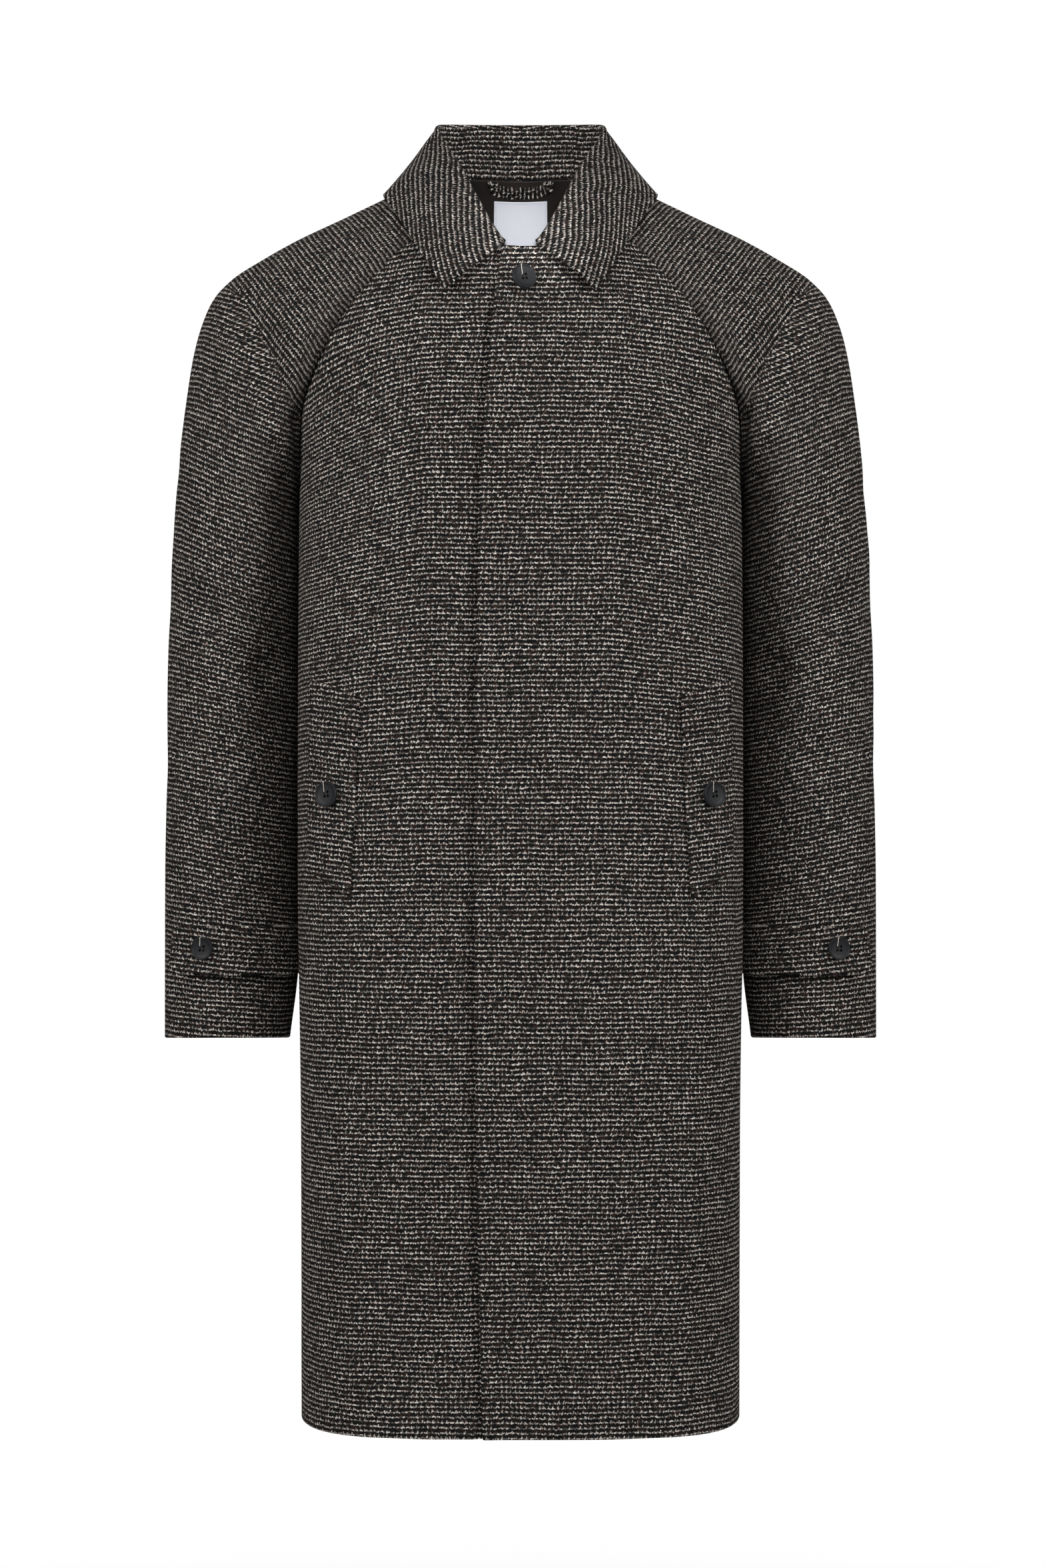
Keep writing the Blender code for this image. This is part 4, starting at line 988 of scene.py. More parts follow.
def make_collar(tweed):
    ends = EDGE_LINES[::-1] / COLLAR_HALF_LENGTH
    along = np.concatenate([np.linspace(0.0, 1.0 - 2 * ends[0], COLLAR_CELLS), 1.0 - ends])
    at = collar_frame(along)
    made = {}
    for node, faces in (("collar_stand", collar_stand(at)), ("collar", collar_fall(at))):
        for face in faces:
            face[:, 0, 0] = 0.0
        outer, inner = (join_halves(face, face) for face in faces)
        run = run_along(outer, 1)
        length = run - run[:, len(along) - 1:len(along)]
        drop = run_along(outer, 0)
        turn = math.tan(math.radians(COLLAR_TILT)) if node == "collar" else 0.0
        weave = np.stack([length, -drop + turn * np.abs(length)], -1)
        made[node] = shell(f"{node}_cloth", outer, inner, cell_corners(weave), tweed)
    return made


# Pieces sewn on

def front_seat(x, z, side):
    """Points and normals of the front at places seen from the front, on the left."""
    around = front_around(x, z)
    surface = partial(body, side=side)
    return surface(around, z), normals(surface, around, z)


def back_seat(x, z):
    """Points and normals of the back at places seen from behind, on both sides of the centre line."""
    around = 2.0 - share_at(BACK, np.abs(x), z)
    way = np.stack([np.where(x < 0, -1.0, 1.0), np.ones_like(x), np.ones_like(x)], -1)
    return body(around, z) * way, normals(body, around, z) * way


def sleeve_seat(share, z, side):
    """Points and normals of the sleeve's front half at shares of its girth and heights."""
    low, high = np.full(share.shape, SEAT_RING), np.full(share.shape, float(LAST_RING))
    surface = partial(sleeve_points, side=side)
    for _ in range(SLEEVE_HALVINGS):
        ring = 0.5 * (low + high)
        above = surface(ring, share)[..., 2] > z
        low, high = np.where(above, ring, low), np.where(above, high, ring)
    return surface(ring, share), -normals(surface, ring, share)


def sleeve_points(ring, around, side):
    """The sleeve below the armhole, at any pairs of ring and around."""
    plain = oval(ring, around)
    forward = sleeve_forward(around)
    depth = fold_depth(SLEEVE_FOLDS[side], plain[..., 0], plain[..., 2], forward)
    return plain + normals(oval, ring, around) * depth[..., None]


def sewn_on(name, points, out, near, thickness, weave, finish, side="left"):
    """A shell from near to near + thickness above the points of a panel."""
    faces = on_side([points + (near + thickness) * out, points + near * out], side)
    return shell(name, *faces, cell_corners(weave), finish)


def make_pocket_welts(tweed):
    corner = np.stack([WELT_CORNERS["x"], WELT_CORNERS["z"]], -1)
    down = crowded(WELT_LENGTH)[:, None, None]
    across = crowded(WELT_WIDTH)[None, :, None]
    free = corner[0] + down * (corner[1] - corner[0])
    sewn = corner[3] + down * (corner[2] - corner[3])
    places = free + across * (sewn - free)
    x, z = places[..., 0], places[..., 1]
    made = {}
    for side in SIDES:
        points, out = front_seat(x, z, side)
        weave = np.stack([run_along(points, 1), z - x * math.tan(math.radians(WELT_TILT))], -1)
        node = f"pocket_welt_{side}"
        made[node] = sewn_on(f"{node}_cloth", points, out, SEAM + SAG, DOUBLED, weave, tweed, side)
    return made


def make_cuff_straps(tweed):
    share = STRAP_TIP + crowded(STRAP_LENGTH) * (STRAP_END - STRAP_TIP)
    clip = STRAP_CLIP_SHARE * np.clip(1 - (share - STRAP_TIP) / STRAP_CLIP, 0.0, 1.0)
    up = crowded(STRAP_TOP - STRAP_BOTTOM)[:, None]
    z = STRAP_BOTTOM + (clip + up * (1 - 2 * clip)) * (STRAP_TOP - STRAP_BOTTOM)
    share, z = np.broadcast_arrays(share, z)
    made = {}
    for side in SIDES:
        points, out = sleeve_seat(share, z, side)
        weave = np.stack([run_along(points, 1), arm_weave(points[..., 0], points[..., 2])[0]], -1)
        node = f"cuff_strap_{side}"
        near = 2 * SEAM + STRAP_LIFT * (1 - up[..., None]) ** 2
        made[node] = sewn_on(f"{node}_cloth", points, out, near, DOUBLED, weave, tweed, side)
    return made


def make_lining(satin):
    across = crowded(LINING_HALF_WIDTH, start=False)
    heights = LINING_START + crowded(LINING_HEIGHT) * (1 - LINING_START)
    grid = upper_patch(centre_back, back_neck_line(across), back_seam, across, heights)
    points = body(grid[..., 0], grid[..., 1])
    out = on_centre_line(grid_normals(points, points * LEVEL))
    points[:, -1] += LINING_INSET * unit(points[:, -2] - points[:, -1])
    points[-1] += LINING_TOP_INSET * unit(points[-2] - points[-1])
    halves = [points - depth * out for depth in (CLOTH + SEAM, CLOTH + SEAM + LINING)]
    faces = [join_halves(half, half) for half in halves]
    weave = np.stack([run_along(faces[0], 1), faces[0][..., 2]], -1)
    return {"back_neck_lining": shell("lining_cloth", *faces, cell_corners(weave), satin)}


def make_label(tape):
    x, z = np.meshgrid(LABEL_HALF * (2 * crowded(2 * LABEL_HALF) - 1),
                       LABEL_BOTTOM + crowded(LABEL_TOP - LABEL_BOTTOM) * (LABEL_TOP - LABEL_BOTTOM))
    points, out = back_seat(x, z)
    bulge = LABEL_BULGE * (1 - (x / LABEL_HALF) ** 2) * ease(LABEL_TOP - z, 0.0, LABEL_BULGE_START)
    points = points - bulge[..., None] * out
    weave = np.stack([x, z], -1)
    return {"label": sewn_on("label_cloth", points, out, -(ON_LINING + LABEL), LABEL, weave, tape)}


def make_hanger_loop(tweed):
    """A band that hangs in a flat U from the neck seam."""
    angle = np.linspace(0.0, math.pi, LOOP_POINTS)
    x = -LOOP_HALF * np.sign(np.cos(angle)) * np.abs(np.cos(angle)) ** LOOP_SQUARE
    z = LOOP_TOP - LOOP_DROP * np.sin(angle) ** LOOP_SQUARE
    run = unit(np.stack([np.gradient(x), np.gradient(z)], -1))
    across = (crowded(LOOP_WIDTH)[:, None] - 0.5) * LOOP_WIDTH
    places = np.stack([x - across * run[:, 1], np.minimum(z + across * run[:, 0], LOOP_TOP)], -1)
    points, out = back_seat(places[..., 0], places[..., 1])
    middle = run_along(points, 1)[len(across) // 2]
    weave = np.stack(np.broadcast_arrays(across, middle), -1)
    return {"hanger_loop": sewn_on("hanger_loop_cloth", points, out, -(ON_LINING + LOOP_CLOTH), LOOP_CLOTH,
                                   weave, tweed)}


# Buttons

def turned_button(diameter, thickness):
    """A four-hole button: a turned profile with a raised rim, and the holes cut through."""
    profile = bpy.data.meshes.new("button_profile")
    shares = zip(BUTTON_PROFILE["radius"], BUTTON_PROFILE["height"])
    rows = [(diameter / 2 * radius, 0.0, thickness * height) for radius, height in shares]
    profile.from_pydata(rows, [(i, i + 1) for i in range(len(rows) - 1)], [])
    blank = new_object("button_blank", profile)
    turn = blank.modifiers.new("turn", "SCREW")
    turn.steps = turn.render_steps = BUTTON_SIDES
    turn.use_merge_vertices = True
    turn.merge_threshold = BUTTON_MERGE
    for i in range(4):
        angle = math.pi / 4 + i * math.pi / 2
        place = (BUTTON_HOLE_PITCH * math.cos(angle), BUTTON_HOLE_PITCH * math.sin(angle), thickness / 2)
        bpy.ops.mesh.primitive_cylinder_add(
            vertices=BUTTON_HOLE_SIDES, radius=BUTTON_HOLE, depth=2 * thickness, location=place)
        cut = blank.modifiers.new(f"hole_{i}", "BOOLEAN")
        cut.operation = "DIFFERENCE"
        cut.object = bpy.context.object
    mesh = bpy.data.meshes.new_from_object(blank.evaluated_get(bpy.context.evaluated_depsgraph_get()))
    for spent in [blank] + [cut.object for cut in blank.modifiers if cut.type == "BOOLEAN"]:
        bpy.data.objects.remove(spent)
    mesh.materials.clear()
    mesh.shade_smooth()
    mesh.set_sharp_from_angle(angle=math.radians(BUTTON_SHARP))
    return mesh


def thread_tube(name, line, radius, finish):
    """A round thread along a line of points."""
    sides = THREAD_SIDES
    ahead = unit(np.gradient(line, axis=0))
    level = unit(np.cross(ahead, ACROSS_THREAD))
    other = np.cross(ahead, level)
    points, faces = [], []
    for i in range(len(line)):
        for k in range(sides):
            turn = 2 * math.pi * k / sides
            points.append(line[i] + radius * (math.cos(turn) * level[i] + math.sin(turn) * other[i]))
    for i in range(len(line) - 1):
        for k in range(sides):
            a, b = i * sides + k, i * sides + (k + 1) % sides
            faces.append((a, b, b + sides, a + sides))
    faces.append(tuple(reversed(range(sides))))
    faces.append(tuple((len(line) - 1) * sides + k for k in range(sides)))
    mesh = bpy.data.meshes.new(name)
    mesh.from_pydata([tuple(point) for point in points], [], faces)
    mesh.shade_smooth()
    mesh.materials.append(finish)
    return new_object(name, mesh)


def button_thread(diameter, thickness):
    """The sewing thread: from an upper hole straight over the top of the rim."""
    hole = BUTTON_HOLE_PITCH * math.sqrt(0.5)
    x = THREAD_PATH["side"] * hole
    y = THREAD_PATH["up"] * hole + THREAD_PATH["radius"] * (diameter / 2)
    z = THREAD_PATH["height"] * thickness + THREAD_PATH["thread"] * THREAD
    return spline(np.stack([x, y, z], -1), THREAD_POINTS)


def spline(points, count):
    run = np.concatenate([[0.0], np.cumsum(np.linalg.norm(np.diff(points, axis=0), axis=1))])
    share = np.linspace(0.0, run[-1], count)
    return np.stack([smooth(share, run, points[:, axis]) for axis in range(3)], -1)


def place_button(node, mesh, size, seat, height, finishes, spin=0.0, lean=0.0):
    """Set a button and its thread with its back at a height above a point of a panel."""
    height += 0.5 * size[0] * math.sin(math.radians(lean))
    turn = Matrix.Rotation(math.radians(lean), 4, "Y") @ Matrix.Rotation(math.radians(spin), 4, "Z")
    point, out = Vector(seat[0]), Vector(seat[1])
    side = out.cross(Vector((0, 0, -1))).normalized()
    up = out.cross(side)
    place = Matrix.Translation(point + height * out) @ Matrix((side, up, out)).transposed().to_4x4()
    button = new_object(f"{node}_resin", mesh.copy())
    button.data.materials.append(finishes["resin"])
    button.data.transform(place @ turn)
    thread = thread_tube(f"{node}_thread", button_thread(*size), THREAD, finishes["thread"])
    thread.data.transform(place @ turn)
    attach(thread, "root")
    return button


def button_seat(panel_seat, place, side):
    """Point and normal for a button on a panel, on its own side of the coat."""
    point, out = panel_seat(np.array(place[:1]), np.array(place[1:]), side)
    point, out = on_side([point, out], side)
    return point[0], out[0]


def make_buttons(finishes):
    coat, cuff = turned_button(*COAT_BUTTON_SIZE), turned_button(*CUFF_BUTTON_SIZE)
    seat = button_seat(front_seat, NECK_BUTTON, "left")
    made = {"button_neck": place_button("button_neck", coat, COAT_BUTTON_SIZE, seat, SEAM + SAG, finishes,
                                        NECK_BUTTON_SPIN, NECK_BUTTON_LEAN)}
    for side in SIDES:
        node = f"button_pocket_{side}"
        seat = button_seat(front_seat, POCKET_BUTTON, side)
        made[node] = place_button(node, coat, COAT_BUTTON_SIZE, seat, ON_WELT, finishes, POCKET_BUTTON_SPIN)
        node = f"button_cuff_{side}"
        seat = button_seat(sleeve_seat, CUFF_BUTTON, side)
        made[node] = place_button(node, cuff, CUFF_BUTTON_SIZE, seat, ON_STRAP, finishes)
    return made


# Materials

class Nodes:
    """A material's node tree, with short calls for the nodes that the finishes use."""

    def __init__(self, name):
        self.material = bpy.data.materials.new(name)
        self.material.use_nodes = True
        self.tree = self.material.node_tree
        self.shader = self.tree.nodes["Principled BSDF"]

    def put(self, socket, value):
        if isinstance(value, bpy.types.NodeSocket):
            self.tree.links.new(value, socket)
        elif isinstance(value, tuple) and len(value) == 3 and len(socket.default_value) == 4:
            socket.default_value = (*value, 1.0)
        else:
            socket.default_value = value

    def add(self, kind, inputs=None, **settings):
        node = self.tree.nodes.new(f"ShaderNode{kind}")
        for key, value in settings.items():
            setattr(node, key, value)
        for key, value in (inputs or {}).items():
            self.put(node.inputs[key], value)
        return node

    def math(self, operation, *values, clamp=False):
        node = self.add("Math", operation=operation, use_clamp=clamp)
        for socket, value in zip(node.inputs, values):
            self.put(socket, value)
        return node.outputs[0]

    def times(self, first, second, clamp=False):
        return self.math("MULTIPLY", first, second, clamp=clamp)

    def minus(self, first, second):
        return self.math("SUBTRACT", first, second)

    def affine(self, value, slope, start):
        return self.math("MULTIPLY_ADD", value, slope, start)

    def size(self, value):
        return self.math("ABSOLUTE", value)

    def sine(self, value):
        return self.math("SINE", value)

    def step(self, value, low, high):
        """0 below low and 1 above high, or the other way round where low is above high."""
        flip = low > high
        node = self.add("MapRange", {0: value, 1: min(low, high), 2: max(low, high),
                                     3: 1.0 if flip else 0.0, 4: 0.0 if flip else 1.0},
                        interpolation_type="SMOOTHSTEP")
        return node.outputs[0]

    def mix(self, share, first, second):
        node = self.add("Mix", data_type="RGBA")
        for socket, value in zip((node.inputs[0], node.inputs[6], node.inputs[7]), (share, first, second)):
            self.put(socket, value)
        return node.outputs[2]

    def scale(self, colour, share):
        node = self.add("Mix", data_type="RGBA", blend_type="MULTIPLY")
        for socket, value in zip((node.inputs[0], node.inputs[6]), (1.0, colour)):
            self.put(socket, value)
        grey = self.add("CombineColor", {0: share, 1: share, 2: share})
        self.put(node.inputs[7], grey.outputs[0])
        return node.outputs[2]

    def noise(self, vector, scale, detail=2.0, roughness=0.5):
        inputs = {"Vector": vector, "Scale": scale, "Detail": detail, "Roughness": roughness}
        return self.add("TexNoise", inputs, noise_dimensions="2D")

    def uv(self):
        node = self.add("UVMap", uv_map="weave")
        parts = self.add("SeparateXYZ", {0: node.outputs[0]})
        return node.outputs[0], parts.outputs[0], parts.outputs[1]

    def random(self, x, y):
        vector = self.add("CombineXYZ", {0: x, 1: y})
        node = self.add("TexWhiteNoise", {"Vector": vector.outputs[0]}, noise_dimensions="2D")
        parts = self.add("SeparateColor", {0: node.outputs["Color"]})
        return [node.outputs["Value"]] + list(parts.outputs)[:3]

    def along_row(self, u, row, length, seed):
        """Noise along each row of the weave, different in every row."""
        place = self.math("DIVIDE", u, length)
        vector = self.add("CombineXYZ", {0: place, 1: self.times(row, seed)})
        return self.noise(vector.outputs[0], 1.0, 1.0).outputs["Fac"]

    def bump(self, height, distance, strength=1.0):
        node = self.add("Bump", {"Height": height, "Distance": distance, "Strength": strength})
        self.put(self.shader.inputs["Normal"], node.outputs[0])

    def finish(self, colour, roughness, **constants):
        self.put(self.shader.inputs["Base Color"], colour)
        self.put(self.shader.inputs["Roughness"], roughness)
        for key, value in constants.items():
            self.put(self.shader.inputs[key.replace("_", " ")], value)
        return self.material


# The tweed: noise scales, lengths along a row, and edges as shares of a row or of a nub's length
DRIFT_SCALE, TINT_SCALE, CLUMP_SCALE, FIBRE_SCALE = 26.0, 260.0, 760.0, 2100.0
SQUIGGLE_LENGTH, SQUIGGLE_REACH, SQUIGGLE_SEED = 0.0017, 0.54, 7.31
DASH_LENGTH, DASH_SEED = 0.0021, 5.77
ROW_SEED = 3.7
ROW_DRIFT, NUB_DRIFT, NUB_SHIFT = 0.6, 1.4, 0.30
CLUMP_REACH, PATCH_EDGE, HAIR_EDGE = 0.28, (0.34, 0.60), (0.30, 0.68)
LINE_EDGE, STITCH_EDGE, DASH_EDGE = (0.22, 0.04), (0.49, 0.30), (0.40, 0.55)
TICK_EDGE, TICK_LEAN, TICK_RISE, TICK_END = (0.15, 0.05), 0.25, 0.16, (0.36, 0.15)
TICK_SHARE, TICK_LIGHT = (0.28, 0.70), 0.82
CREAM_EDGE, PINK_EDGE, PINK_SHARE = (0.35, 0.65), (0.58, 0.70), 0.6
GREEN_EDGE, BROWN_EDGE = (0.40, 0.60), (0.50, 0.68)
STRAY_EDGE, STRAY_SHARE = (0.55, 0.77), 0.26
DULL_CREAM, PALE_CREAM, PINK_CREAM = (0.80, 0.71, 0.64), (0.93, 0.88, 0.82), (0.62, 0.45, 0.41)
BLUE_GROUND, GREEN_GROUND = (0.0034, 0.0038, 0.0048), (0.0056, 0.0060, 0.0052)
BROWN_GROUND = (0.018, 0.011, 0.009)
STRAY_FIBRE = (0.50, 0.45, 0.40)


def tweed_material():
    """Rows of thin squiggled cream yarn, bright in short dashes, on a near-black ground with dull tints."""
    n = Nodes("tweed_weave")
    vector, u, v = n.uv()
    drift = n.noise(vector, DRIFT_SCALE, 1.0).outputs["Fac"]
    tint = n.add("SeparateColor", {0: n.noise(vector, TINT_SCALE, 2.0, 0.6).outputs["Color"]}).outputs
    clump = n.noise(vector, CLUMP_SCALE, 2.0, 0.6).outputs["Fac"]
    fibre = n.noise(vector, FIBRE_SCALE, 3.0, 0.65).outputs["Fac"]
    hair = n.step(fibre, *HAIR_EDGE)

    rows = n.affine(v, 1 / ROW, n.times(drift, ROW_DRIFT))
    row = n.math("FLOOR", rows)
    row_random = n.random(row, ROW_SEED)
    squiggle = n.along_row(u, row, SQUIGGLE_LENGTH, SQUIGGLE_SEED)
    dashes = n.along_row(u, row, DASH_LENGTH, DASH_SEED)
    up = n.minus(n.math("FRACT", rows), 0.5)
    up = n.affine(n.minus(squiggle, 0.5), SQUIGGLE_REACH, up)
    up = n.affine(n.minus(clump, 0.5), CLUMP_REACH, up)
    sway = n.affine(drift, NUB_DRIFT, n.times(row_random[0], NUB_SHIFT))
    nubs = n.affine(u, 1 / NUB, sway)
    nub = n.math("FLOOR", nubs)
    on = n.minus(n.math("FRACT", nubs), 0.5)
    one, two, three, four = n.random(nub, row)

    line = n.step(n.size(up), *LINE_EDGE)
    stitch = n.step(n.size(on), *STITCH_EDGE)
    gap = n.times(n.affine(two, 0.40, 0.60), n.minus(1.0, stitch))
    dash = n.affine(n.step(dashes, *DASH_EDGE), 0.88, 0.12)
    dash = n.times(dash, n.minus(1.0, gap))
    place = n.affine(one, 0.30, -0.35)
    tick_on = n.minus(n.minus(on, place), n.times(up, TICK_LEAN))
    tick = n.step(n.size(tick_on), *TICK_EDGE)
    tick = n.times(tick, n.step(n.size(n.minus(up, TICK_RISE)), *TICK_END))
    tick = n.times(tick, n.step(three, *TICK_SHARE))
    yarn = n.math("MAXIMUM", n.times(line, dash), n.times(tick, TICK_LIGHT))
    patchy = n.affine(n.step(clump, *PATCH_EDGE), 0.75, 0.40)
    strength = n.times(n.affine(four, 0.95, 0.62), n.times(patchy, n.affine(hair, 0.45, 0.65)))
    yarn_light = n.times(yarn, strength, clamp=True)

    cream = n.mix(n.step(tint[0], *CREAM_EDGE), DULL_CREAM, PALE_CREAM)
    cream = n.mix(n.times(n.step(tint[1], *PINK_EDGE), PINK_SHARE), cream, PINK_CREAM)
    ground = n.mix(n.step(tint[2], *GREEN_EDGE), BLUE_GROUND, GREEN_GROUND)
    ground = n.mix(n.step(tint[1], *BROWN_EDGE), ground, BROWN_GROUND)
    ground = n.scale(ground, n.affine(hair, 2.4, 0.30))
    stray = n.times(n.step(fibre, *STRAY_EDGE), n.times(two, STRAY_SHARE))
    ground = n.mix(stray, ground, STRAY_FIBRE)
    colour = n.mix(yarn_light, ground, cream)
    height = n.affine(fibre, 0.5, n.affine(clump, 0.5, yarn))
    n.bump(height, 0.0006, 0.8)
    rough = n.affine(hair, -0.08, 0.98)
    return n.finish(colour, rough, Sheen_Weight=0.012, Sheen_Roughness=0.45, Sheen_Tint=(0.9, 0.86, 0.8),
                    Specular_IOR_Level=0.04)


TWILL = 0.0007                                   # distance between the lining's diagonals
RIB, RIB_ACROSS = 0.0006, 0.0005                 # distances between the label's threads
LABEL_STITCH, LABEL_STITCH_IN = 0.0022, 0.0015   # stitch length, and distance from the label's edge


def satin_material():
    """Dark brown lining with fine diagonal twill and slow ripples."""
    n = Nodes("lining_twill")
    vector, u, v = n.uv()
    diagonal = n.sine(n.times(n.math("ADD", u, v), 2 * math.pi / TWILL))
    slow = n.noise(vector, 60.0, 2.0).outputs["Fac"]
    colour = n.mix(slow, (0.012, 0.0095, 0.0085), (0.024, 0.019, 0.016))
    colour = n.scale(colour, n.affine(diagonal, 0.12, 0.9))
    n.bump(n.math("ADD", n.times(diagonal, 0.02), slow), 0.0008, 0.5)
    return n.finish(colour, n.affine(slow, 0.2, 0.42), Sheen_Weight=0.05, Specular_IOR_Level=0.35)


def tape_material():
    """White woven tape: fine ribs, a sewn line near its edges, and faint shading along the threads."""
    n = Nodes("label_tape")
    vector, u, v = n.uv()
    rib = n.sine(n.times(v, 2 * math.pi / RIB))
    across = n.sine(n.times(u, 2 * math.pi / RIB_ACROSS))
    threads = n.noise(vector, 900.0, 2.0).outputs["Fac"]
    colour = n.mix(threads, (0.82, 0.84, 0.93), (0.89, 0.91, 0.98))
    weave = n.times(rib, across)
    middle = 0.5 * (LABEL_TOP + LABEL_BOTTOM)
    side = n.minus(LABEL_HALF, n.size(u))
    end = n.minus(0.5 * (LABEL_TOP - LABEL_BOTTOM), n.size(n.minus(v, middle)))
    from_edge = n.math("MINIMUM", side, end)
    sewn = n.step(n.size(n.minus(from_edge, LABEL_STITCH_IN)), 0.0005, 0.0001)
    broken = n.step(n.sine(n.times(n.math("ADD", u, v), 2 * math.pi / LABEL_STITCH)), -0.4, 0.2)
    colour = n.scale(colour, n.affine(n.times(sewn, broken), -0.16, 1.0))
    n.bump(n.minus(n.times(weave, 0.3), n.times(sewn, 1.2)), 0.0002, 0.7)
    return n.finish(colour, n.affine(threads, 0.15, 0.55), Sheen_Weight=0.05, Specular_IOR_Level=0.3)


def object_noise(n, scale, detail):
    place = n.add("TexCoord").outputs["Object"]
    inputs = {"Vector": place, "Scale": scale, "Detail": detail}
    return n.add("TexNoise", inputs).outputs["Fac"]


def resin_material():
    """Charcoal resin with a satin polish and faint clouding."""
    n = Nodes("button_resin")
    cloud = object_noise(n, 420.0, 4.0)
    fine = object_noise(n, 5200.0, 2.0)
    colour = n.mix(cloud, (0.009, 0.0095, 0.011), (0.020, 0.021, 0.023))
    n.bump(fine, 0.00004, 0.5)
    return n.finish(colour, n.affine(cloud, 0.16, 0.42), Specular_IOR_Level=0.30)


def thread_material():
    """Pale plied sewing thread."""
    n = Nodes("pale_thread")
    ply = object_noise(n, 3000.0, 2.0)
    n.bump(ply, 0.0001, 0.7)
    colour = n.mix(ply, (0.50, 0.46, 0.40), (0.74, 0.70, 0.64))
    return n.finish(colour, n.affine(ply, 0.2, 0.6), Sheen_Weight=0.1)


# Studio

FLOOR_Z, FLOOR_RADIUS, FLOOR_SIDES, FLOOR_FADE = -1.42, 3.0, 96, (0.4, 1.6)
WORLD_LIGHT, WORLD_SEEN = 0.10, 1.0
LAMPS = (       # name, place, aim, size and power in watts
    ("left", (1.55, -1.3, 0.28), (0.0, 0.0, -0.20), (0.6, 1.0), 21.0),
    ("right", (-1.55, -1.3, 0.28), (0.0, 0.0, -0.20), (0.6, 1.0), 21.0),
    ("top", (0.0, -1.9, 1.9), (0.0, 0.0, -0.15), (1.6, 1.0), 22.0),
    ("front", (0.0, -3.4, -0.2), (0.0, 0.0, -0.25), (1.2, 1.2), 8.0),
    ("back", (0.0, 2.7, 0.5), (0.0, 0.0, -0.30), (1.4, 1.2), 46.0),
)
NECK_LIGHT_PLACE, NECK_LIGHT_AIM = (0.0, -2.7, -0.40), (0.0, 0.085, -0.004)
NECK_LIGHT_POWER, NECK_LIGHT_CONE = 820.0, 1.45
CAMERA_PLACE = (0.0016, -2.8, -0.471)
FRAME_HEIGHT = 1.270            # what the frame spans at the depth of the origin
SENSOR = 36.0


def make_floor():
    turns = [2 * math.pi * i / FLOOR_SIDES for i in range(FLOOR_SIDES)]
    ring = [(FLOOR_RADIUS * math.cos(turn), FLOOR_RADIUS * math.sin(turn), FLOOR_Z) for turn in turns]
    mesh = bpy.data.meshes.new("floor")
    mesh.from_pydata(ring, [], [tuple(range(FLOOR_SIDES))])
    n = Nodes("pale_floor")
    place = n.add("TexCoord").outputs["Object"]
    parts = n.add("SeparateXYZ", {0: place}).outputs
    flat = n.add("CombineXYZ", {0: parts[0], 1: parts[1]})
    away = n.add("VectorMath", {0: flat.outputs[0]}, operation="LENGTH").outputs["Value"]
    grain = n.add("TexNoise", {"Vector": place, "Scale": 3.0, "Detail": 3.0}).outputs["Fac"]
    n.finish(n.mix(grain, (0.86, 0.86, 0.86), (0.90, 0.90, 0.90)), 0.8)
    n.put(n.shader.inputs["Alpha"], n.step(away, FLOOR_FADE[1], FLOOR_FADE[0]))
    mesh.materials.append(n.material)
    floor = new_object("floor", mesh)


def hang_lamp(data, place, aim):
    lamp = new_object(data.name, data)
    lamp.location = place
    lamp.rotation_euler = (Vector(aim) - Vector(place)).to_track_quat("-Z", "Y").to_euler()
    return lamp


def make_lamp(name, place, aim, size, power):
    data = bpy.data.lights.new(name, "AREA")
    data.shape = "RECTANGLE"
    data.size, data.size_y = size
    data.energy = power
    hang_lamp(data, place, aim).visible_camera = False


def make_neck_light():
    """A narrow soft spot into the neck opening, on the label."""
    data = bpy.data.lights.new("neck", "SPOT")
    data.energy = NECK_LIGHT_POWER
    data.spot_size = math.radians(NECK_LIGHT_CONE)
    data.spot_blend = 0.9
    data.shadow_soft_size = 0.05
    hang_lamp(data, NECK_LIGHT_PLACE, NECK_LIGHT_AIM)


def make_world():
    """Even white surroundings, brighter where the camera sees them than as a light."""
    world = bpy.data.worlds.new("studio")
    world.use_nodes = True
    tree = world.node_tree
    ambient = tree.nodes["Background"]
    ambient.inputs["Color"].default_value = (1.0, 1.0, 1.0, 1.0)
    ambient.inputs["Strength"].default_value = WORLD_LIGHT
    shown = tree.nodes.new("ShaderNodeBackground")
    shown.inputs["Color"].default_value = (1.0, 1.0, 1.0, 1.0)
    shown.inputs["Strength"].default_value = WORLD_SEEN
    path = tree.nodes.new("ShaderNodeLightPath")
    mix = tree.nodes.new("ShaderNodeMixShader")
    tree.links.new(path.outputs["Is Camera Ray"], mix.inputs[0])
    tree.links.new(ambient.outputs[0], mix.inputs[1])
    tree.links.new(shown.outputs[0], mix.inputs[2])
    tree.links.new(mix.outputs[0], tree.nodes["World Output"].inputs["Surface"])
    bpy.context.scene.world = world


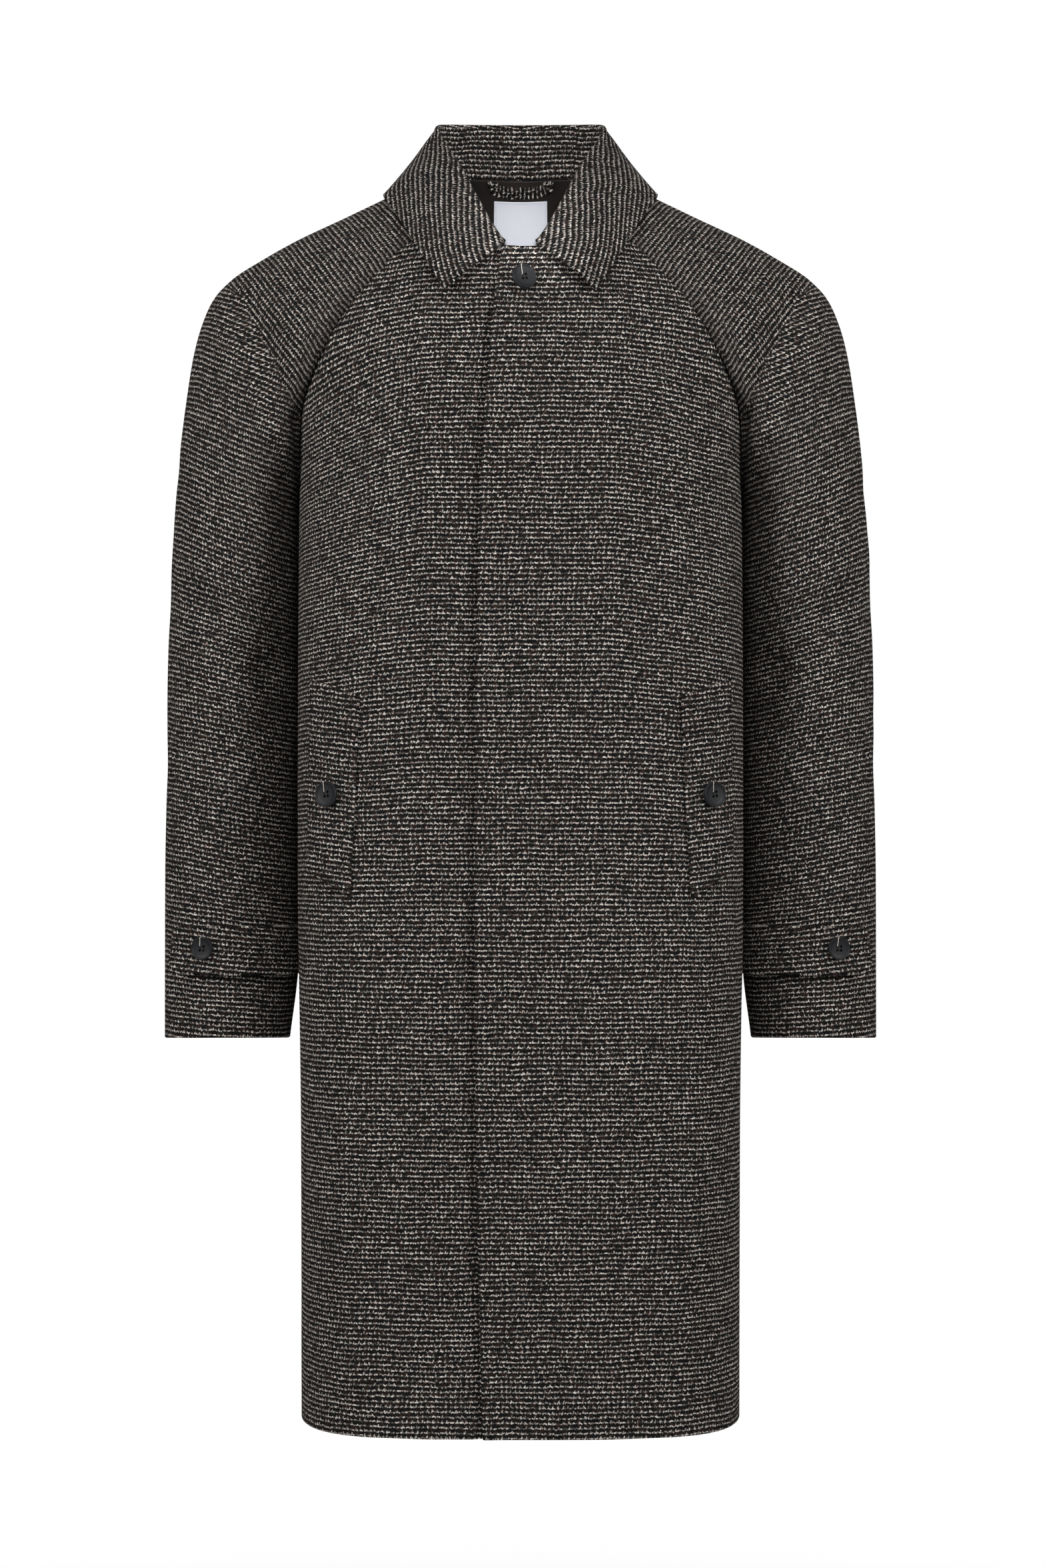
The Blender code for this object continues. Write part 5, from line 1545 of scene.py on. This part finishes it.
def make_camera():
    data = bpy.data.cameras.new("camera")
    data.sensor_fit = "AUTO"
    data.sensor_width = SENSOR
    data.lens = SENSOR * -CAMERA_PLACE[1] / FRAME_HEIGHT
    camera = new_object("camera", data)
    camera.location = CAMERA_PLACE
    camera.rotation_euler = (math.pi / 2, 0.0, 0.0)
    bpy.context.scene.camera = camera


# Every sheet of cloth, with {} for its side: width, length and area of the flat piece, how it is
# held and what it rests on
SHEETS = {
    "front_{}": (0.40, 0.98, 0.32, "hung", ["collar_stand", "sleeve_front_{}"]),
    "back": (0.66, 1.05, 0.56, "hung", ["collar_stand", "sleeve_back_left", "sleeve_back_right"]),
    "sleeve_front_{}": (0.30, 0.86, 0.16, "hung", ["collar_stand"]),
    "sleeve_back_{}": (0.30, 0.86, 0.17, "hung", ["collar_stand"]),
    "collar_stand": (0.50, 0.05, 0.020, "laid", ["back"]),
    "collar": (0.56, 0.09, 0.045, "folded", ["collar_stand"]),
    "pocket_welt_{}": (0.055, 0.155, 0.0060, "laid", ["front_{}"]),
    "cuff_strap_{}": (0.14, 0.037, 0.0045, "laid", ["sleeve_front_{}"]),
    "back_neck_lining": (0.24, 0.16, 0.028, "laid", ["back"]),
    "label": (0.046, 0.048, None, "laid", ["back_neck_lining"]),
    "hanger_loop": (0.066, 0.0160, None, "laid", ["back"]),
}


def declare(node, piece):
    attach(piece, "root")
    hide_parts(node)
    side = node.rpartition("_")[2]
    kind = node.removesuffix(side) + "{}" if side in SIDES else node
    if kind in SHEETS:
        width, length, area, held, rests_on = SHEETS[kind]
        rests_on = [other.format(side) for other in rests_on]


tweed = tweed_material()
finishes = {"resin": resin_material(), "thread": thread_material()}
tweed_pieces = {}
for maker in (make_fronts, make_back, make_sleeves, make_collar, make_pocket_welts, make_cuff_straps,
              make_hanger_loop):
    tweed_pieces.update(maker(tweed))
for slot, pieces in (("tweed", tweed_pieces), ("lining", make_lining(satin_material())),
                     ("label", make_label(tape_material())), ("button", make_buttons(finishes))):
    for node, piece in pieces.items():
        declare(node, piece)

make_floor()
make_world()
for lamp in LAMPS:
    make_lamp(*lamp)
make_neck_light()
make_camera()
bpy.context.scene.view_settings.view_transform = "Standard"
